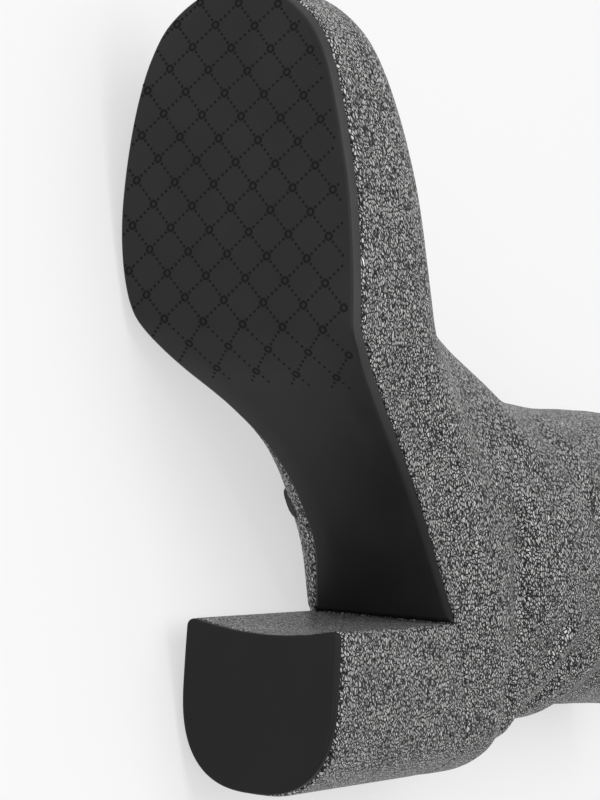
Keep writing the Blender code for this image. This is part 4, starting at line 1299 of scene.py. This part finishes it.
levels, foot_ring, rings = build_rings()
normals = normals_of(rings)
turns = ring_turns(levels[0])
for k, ring in enumerate(rings):
    settle = min(1.0, k / SETTLE_RINGS)
    tuck = FOOT_TUCK if k == 0 else 0.0
    for m, point in enumerate(ring):
        side = turns[m][1]
        shift = lip_height(levels[k], point.x, side) - fold_depth(point, side) * settle - tuck
        ring[m] = point + normals[k][m] * shift
normals = normals_of(rings)
print("rings:", len(rings), "columns:", len(rings[0]))


# %% The closed skin
def build_skin():
    """The outer face, the lining a wall's thickness inside it, and the edges that join them."""
    count = len(turns)
    last = len(rings) - 1
    inside = []
    for k, ring in enumerate(rings):
        row = []
        for m, point in enumerate(ring):
            inward = -normals[k][m]
            if k in (0, last):
                inward = Vector((inward.x, inward.y, 0.0)).normalized()
            row.append(point + inward * WALL)
        inside.append(row)
    for point in inside[0]:
        point.z = feather_z(min(SOLE_LENGTH, max(0.0, point.x))) + GAP / 4
    points = [point for row in rings + inside for point in row]

    def at(layer, k, m):
        return (layer * len(rings) + k) * count + m % count

    faces = []
    slots = []
    zip_cells = range(BACK_COLUMNS, BACK_COLUMNS + ZIP_COLUMNS)
    for layer in (0, 1):
        for k in range(last):
            for m in range(count):
                if m in zip_cells and k >= foot_ring:
                    continue
                low = (at(layer, k, m), at(layer, k, m + 1))
                high = (at(layer, k + 1, m + 1), at(layer, k + 1, m))
                faces.append(low + high)
                slots.append(layer)
    for m in range(count):
        faces.append((at(0, 0, m), at(0, 0, m + 1), at(1, 0, m + 1), at(1, 0, m)))
        slots.append(0)
        if m in zip_cells:
            outer = (at(0, foot_ring, m), at(0, foot_ring, m + 1))
            inner = (at(1, foot_ring, m + 1), at(1, foot_ring, m))
            faces.append(outer + inner)
            slots.append(0)
            continue
        faces.append((at(0, last, m), at(0, last, m + 1), at(1, last, m + 1), at(1, last, m)))
        slots.append(0)
    for m in (BACK_COLUMNS, BACK_COLUMNS + ZIP_COLUMNS):
        for k in range(foot_ring, last):
            faces.append((at(0, k, m), at(0, k + 1, m), at(1, k + 1, m), at(1, k, m)))
            slots.append(0)
    return points, faces, slots


points, faces, slots = build_skin()
upper = add_piece("knit_upper", points, faces, [SILVER_KNIT, LINING], slots, sharp=55.0)
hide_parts("upper")
print("upper:", triangle_count(upper), "triangles")

# %% [markdown]
# ## The zip
#
# A coil zip is two woven tapes with a row of moulded teeth each. The closed tapes are one strip that
# follows the slit a little below the face of the cloth. A second strip, the guard, lies inside the
# boot behind it, as on a real boot, and keeps light from showing beside the tape.

# %% Zip tape and guard
TAPE_THICKNESS = 0.0011
TOOTH_PITCH = 0.0014
FINE_STEPS = 400
STRIP_STEPS = 90


def walk(spots):
    """The length walked along a row of points up to each of them."""
    walked = [0.0]
    for before, after in zip(spots, spots[1:]):
        walked.append(walked[-1] + (after - before).length)
    return walked


def step_at(walked, length):
    """The step of the walk that is under way at a length, and the share of it that is done."""
    index = max(k for k in range(len(walked) - 1) if walked[k] <= length)
    return index, (length - walked[index]) / (walked[index + 1] - walked[index])


def zip_stations(count):
    """Levels evenly spaced by length up the zip."""
    fine = [mix(ZIP_FOOT_LEVEL, LAST_SECTION, k / FINE_STEPS) for k in range(FINE_STEPS + 1)]
    walked = walk([inner_point(level, zip_x(level)) for level in fine])
    number = count or int(walked[-1] / TOOTH_PITCH)
    stations = []
    for k in range(number + 1):
        index, share = step_at(walked, walked[-1] * k / number)
        stations.append(mix(fine[index], fine[index + 1], share))
    return stations


def build_strip(profile, underside, end_level=LAST_SECTION):
    """A long strip along the zip. profile: (share of half width, depth under the cloth's face)."""
    points = []
    faces = []
    stations = [level for level in zip_stations(STRIP_STEPS) if level <= end_level]
    columns = len(profile)
    for level in stations:
        for depths in ([sunk for _, sunk in profile], [underside] * columns):
            for (share, _), depth in zip(profile, depths):
                middle, out, _ = zip_frame(level, zip_x(level) + share * ZIP_WIDTH / 2)
                points.append(middle - out * depth)
    ring = list(range(columns)) + list(range(2 * columns - 1, columns - 1, -1))
    for step in range(len(stations) - 1):
        low = step * 2 * columns
        high = low + 2 * columns
        for a, b in zip(ring, ring[1:] + ring[:1]):
            faces.append((low + a, low + b, high + b, high + a))
    for base in (0, (len(stations) - 1) * 2 * columns):
        for k in range(columns - 1):
            faces.append((base + k, base + k + 1, base + columns + k + 1, base + columns + k))
    return points, faces


TAPE_PROFILE = [(-1.0, 0.0007), (-0.25, 0.0007), (0.0, 0.0009), (0.25, 0.0007), (1.0, 0.0007)]
points, faces = build_strip(TAPE_PROFILE, GAP + TAPE_THICKNESS)
tape = add_piece("zip_tape_cloth", points, faces, [TAPE_CLOTH])
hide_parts("zip_tape")
GUARD_FACE = WALL + 0.00012
GUARD_BACK = WALL + 0.0008
GUARD_END = LAST_SECTION - 0.12
GUARD_PROFILE = [(share, GUARD_FACE) for share in (-1.9, -1.0, 0.0, 1.0, 1.9)]
points, faces = build_strip(GUARD_PROFILE, GUARD_BACK, GUARD_END)
guard = add_piece("zip_guard", points, faces, [LINING])


# %% [markdown]
# ### The zip's lower end
#
# Below the last tooth the tape's end is folded under and covered by a small black tab, and the cloth
# beside it puckers. The tab lies over the edge between the upper and the platform, so its points are
# taken from both surfaces.

# %% Zip tab
TAB_STEPS = 14
TAB_ACROSS = 8
TAB_HALF = 0.0040
TAB_PROUD = 0.0013
TAB_LEAN = 0.0065
TAB_BED = 0.4
TAB_RISE = 0.35
TAB_END = 0.42
TAB_SUNK = 0.0003
TAB_WALL = PLATFORM_WALL[1:]
WALL_SPREAD = smooth_curve([wall.up for wall in TAB_WALL], [wall.spread for wall in TAB_WALL])
TAB_OUT = Vector((0.0, -0.93, -0.36))


def tab_surface(x, down):
    """A point under the tab: down is 0 at its top, TAB_BED at the footbed and 1 at its end."""
    if down < TAB_BED:
        return inner_point((ZIP_FOOT_LEVEL + TAB_RISE) * (1 - down / TAB_BED), x)
    up = mix(1.0, TAB_END, (down - TAB_BED) / (1 - TAB_BED))
    y = sole_edge(x, INNER_SIDE) - WRAP_PROUD - WALL_SPREAD(up) * flare(x, INNER_SIDE)
    return Vector((x, y, mix(platform_foot_z(x), feather_z(x), up)))


def build_tab():
    points = []
    faces = []
    for layer in (0, 1):
        for step in range(TAB_STEPS + 1):
            down = step / TAB_STEPS
            middle = zip_x(0.0) - TAB_LEAN * down
            width = TAB_HALF * (1 - (2 * down - 1) ** 6) ** 0.5 * mix(1.0, 0.8, down) + 0.0002
            for k in range(TAB_ACROSS + 1):
                across = 2 * k / TAB_ACROSS - 1
                spot = tab_surface(middle + across * width, down)
                ripple = 0.75 + 0.25 * math.cos(11.0 * down + 2.0 * across)
                crown = TAB_PROUD * ripple * (1 - across ** 4) * (1 - (2 * down - 1) ** 6)
                lift = crown if layer == 0 else -TAB_SUNK
                points.append(spot + TAB_OUT * lift)
    width = TAB_ACROSS + 1
    half = (TAB_STEPS + 1) * width
    for layer in (0, 1):
        for step in range(TAB_STEPS):
            for k in range(TAB_ACROSS):
                low = layer * half + step * width + k
                faces.append((low, low + 1, low + width + 1, low + width))
    rim = list(range(width)) + [step * width + TAB_ACROSS for step in range(1, TAB_STEPS + 1)]
    rim += [TAB_STEPS * width + k for k in range(TAB_ACROSS - 1, -1, -1)]
    rim += [step * width for step in range(TAB_STEPS - 1, 0, -1)]
    for a, b in zip(rim, rim[1:] + rim[:1]):
        faces.append((a, b, half + b, half + a))
    return points, faces


points, faces = build_tab()
tab = add_piece("zip_tab", points, faces, [TAPE_CLOTH], sharp=70.0)
print("zip tab:", triangle_count(tab), "triangles")

# %% [markdown]
# ### The teeth
#
# The closed teeth could be painted on as stripes, but from the side the row has a real height. Each
# tooth is a small rounded block, left and right in turn.


# %% Zip teeth
TOOTH_WIDTH = 0.0022
TOOTH_LENGTH = 0.00085
TOOTH_HEIGHT = 0.0009
TOOTH_ASIDE = 0.22
TOOTH_SUNK = GAP + 0.0001


def rounded_block(middle, axes, size, points, faces):
    """A small block with its upper edges drawn in, made of three rings."""
    start = len(points)
    for height, shrink in ((-0.5, 1.0), (0.2, 1.0), (0.5, 0.62)):
        for a, b in ((-1, -1), (1, -1), (1, 1), (-1, 1)):
            offset = axes[0] * a * size[0] / 2 * shrink + axes[1] * b * size[1] / 2 * shrink
            points.append(middle + offset + axes[2] * height * size[2])
    tube_faces(start, 3, 4, faces)


points = []
faces = []
for number, level in enumerate(zip_stations(0)[1:-1]):
    middle, out, up = zip_frame(level, zip_x(level))
    along = up.cross(out).normalized()
    side = 1 if number % 2 else -1
    spot = middle + along * side * TOOTH_WIDTH * TOOTH_ASIDE - out * TOOTH_SUNK
    rounded_block(spot, (along, up, out), (TOOTH_WIDTH, TOOTH_LENGTH, TOOTH_HEIGHT), points, faces)
teeth = add_piece("zip_teeth", points, faces, [TEETH_PLASTIC], sharp=30.0)
print("zip:", triangle_count(tape), "triangles of tape,", triangle_count(teeth), "of teeth")

# %% [markdown]
# ## Collar seam
#
# The collar is turned in and sewn down. The seam is a row of short raised stitches on the outer face.

# %% Collar stitches
STITCH_LENGTH = 0.0024
STITCH_GAP = 0.0009
STITCH_RADIUS = 0.00028
SEAM_LEVEL = 12.55
STITCH_SHAPE = [(0.0, 0.4, -0.6), (0.2, 0.9, 0.3), (0.5, 1.0, 0.7), (0.8, 0.9, 0.3), (1.0, 0.4, -0.6)]
STITCH_SIDES = 6


def build_stitches():
    points = []
    faces = []
    row = min(range(len(levels)), key=lambda k: abs(levels[k] - SEAM_LEVEL))
    ring = rings[row]
    count = len(ring)
    start = BACK_COLUMNS + ZIP_COLUMNS + 1
    columns = [(start + m) % count for m in range(count - ZIP_COLUMNS - 2)]
    path = [(ring[m], normals[row][m]) for m in columns]
    walked = walk([point for point, _ in path])

    def spot(length):
        index, share = step_at(walked, length)
        return mix(path[index][0], path[index + 1][0], share), path[index][1]

    place = 0.0
    made = 0
    while place + STITCH_LENGTH < walked[-1]:
        first = len(points)
        for share, thick, rise in STITCH_SHAPE:
            middle, out = spot(place + share * STITCH_LENGTH)
            ahead = (spot(place + STITCH_LENGTH)[0] - spot(place)[0]).normalized()
            across = ahead.cross(out).normalized()
            for k in range(STITCH_SIDES):
                angle = 2 * math.pi * k / STITCH_SIDES
                around = across * math.cos(angle) + out * math.sin(angle)
                points.append(middle + out * STITCH_RADIUS * rise + around * STITCH_RADIUS * thick)
        tube_faces(first, len(STITCH_SHAPE), STITCH_SIDES, faces)
        place += STITCH_LENGTH + STITCH_GAP
        made += 1
    return points, faces, made


points, faces, made = build_stitches()
seam = add_piece("collar_stitches", points, faces, [THREAD], sharp=80.0)
print("collar stitches:", made)

# %% [markdown]
# ## Pieces that keep their solid
#
# The footbed and the zip's slider and pull have their final shape in the frame. They only get
# their finish.

# %% Footbed, slider and pull
for node, material in (("insole", FOOTBED), ("zip_slider", GUNMETAL), ("zip_pull", GUNMETAL)):
    solid = frame["nodes"][node]
    for slot in solid.material_slots:
        slot.material = material
    print(node, "wears", material.name)
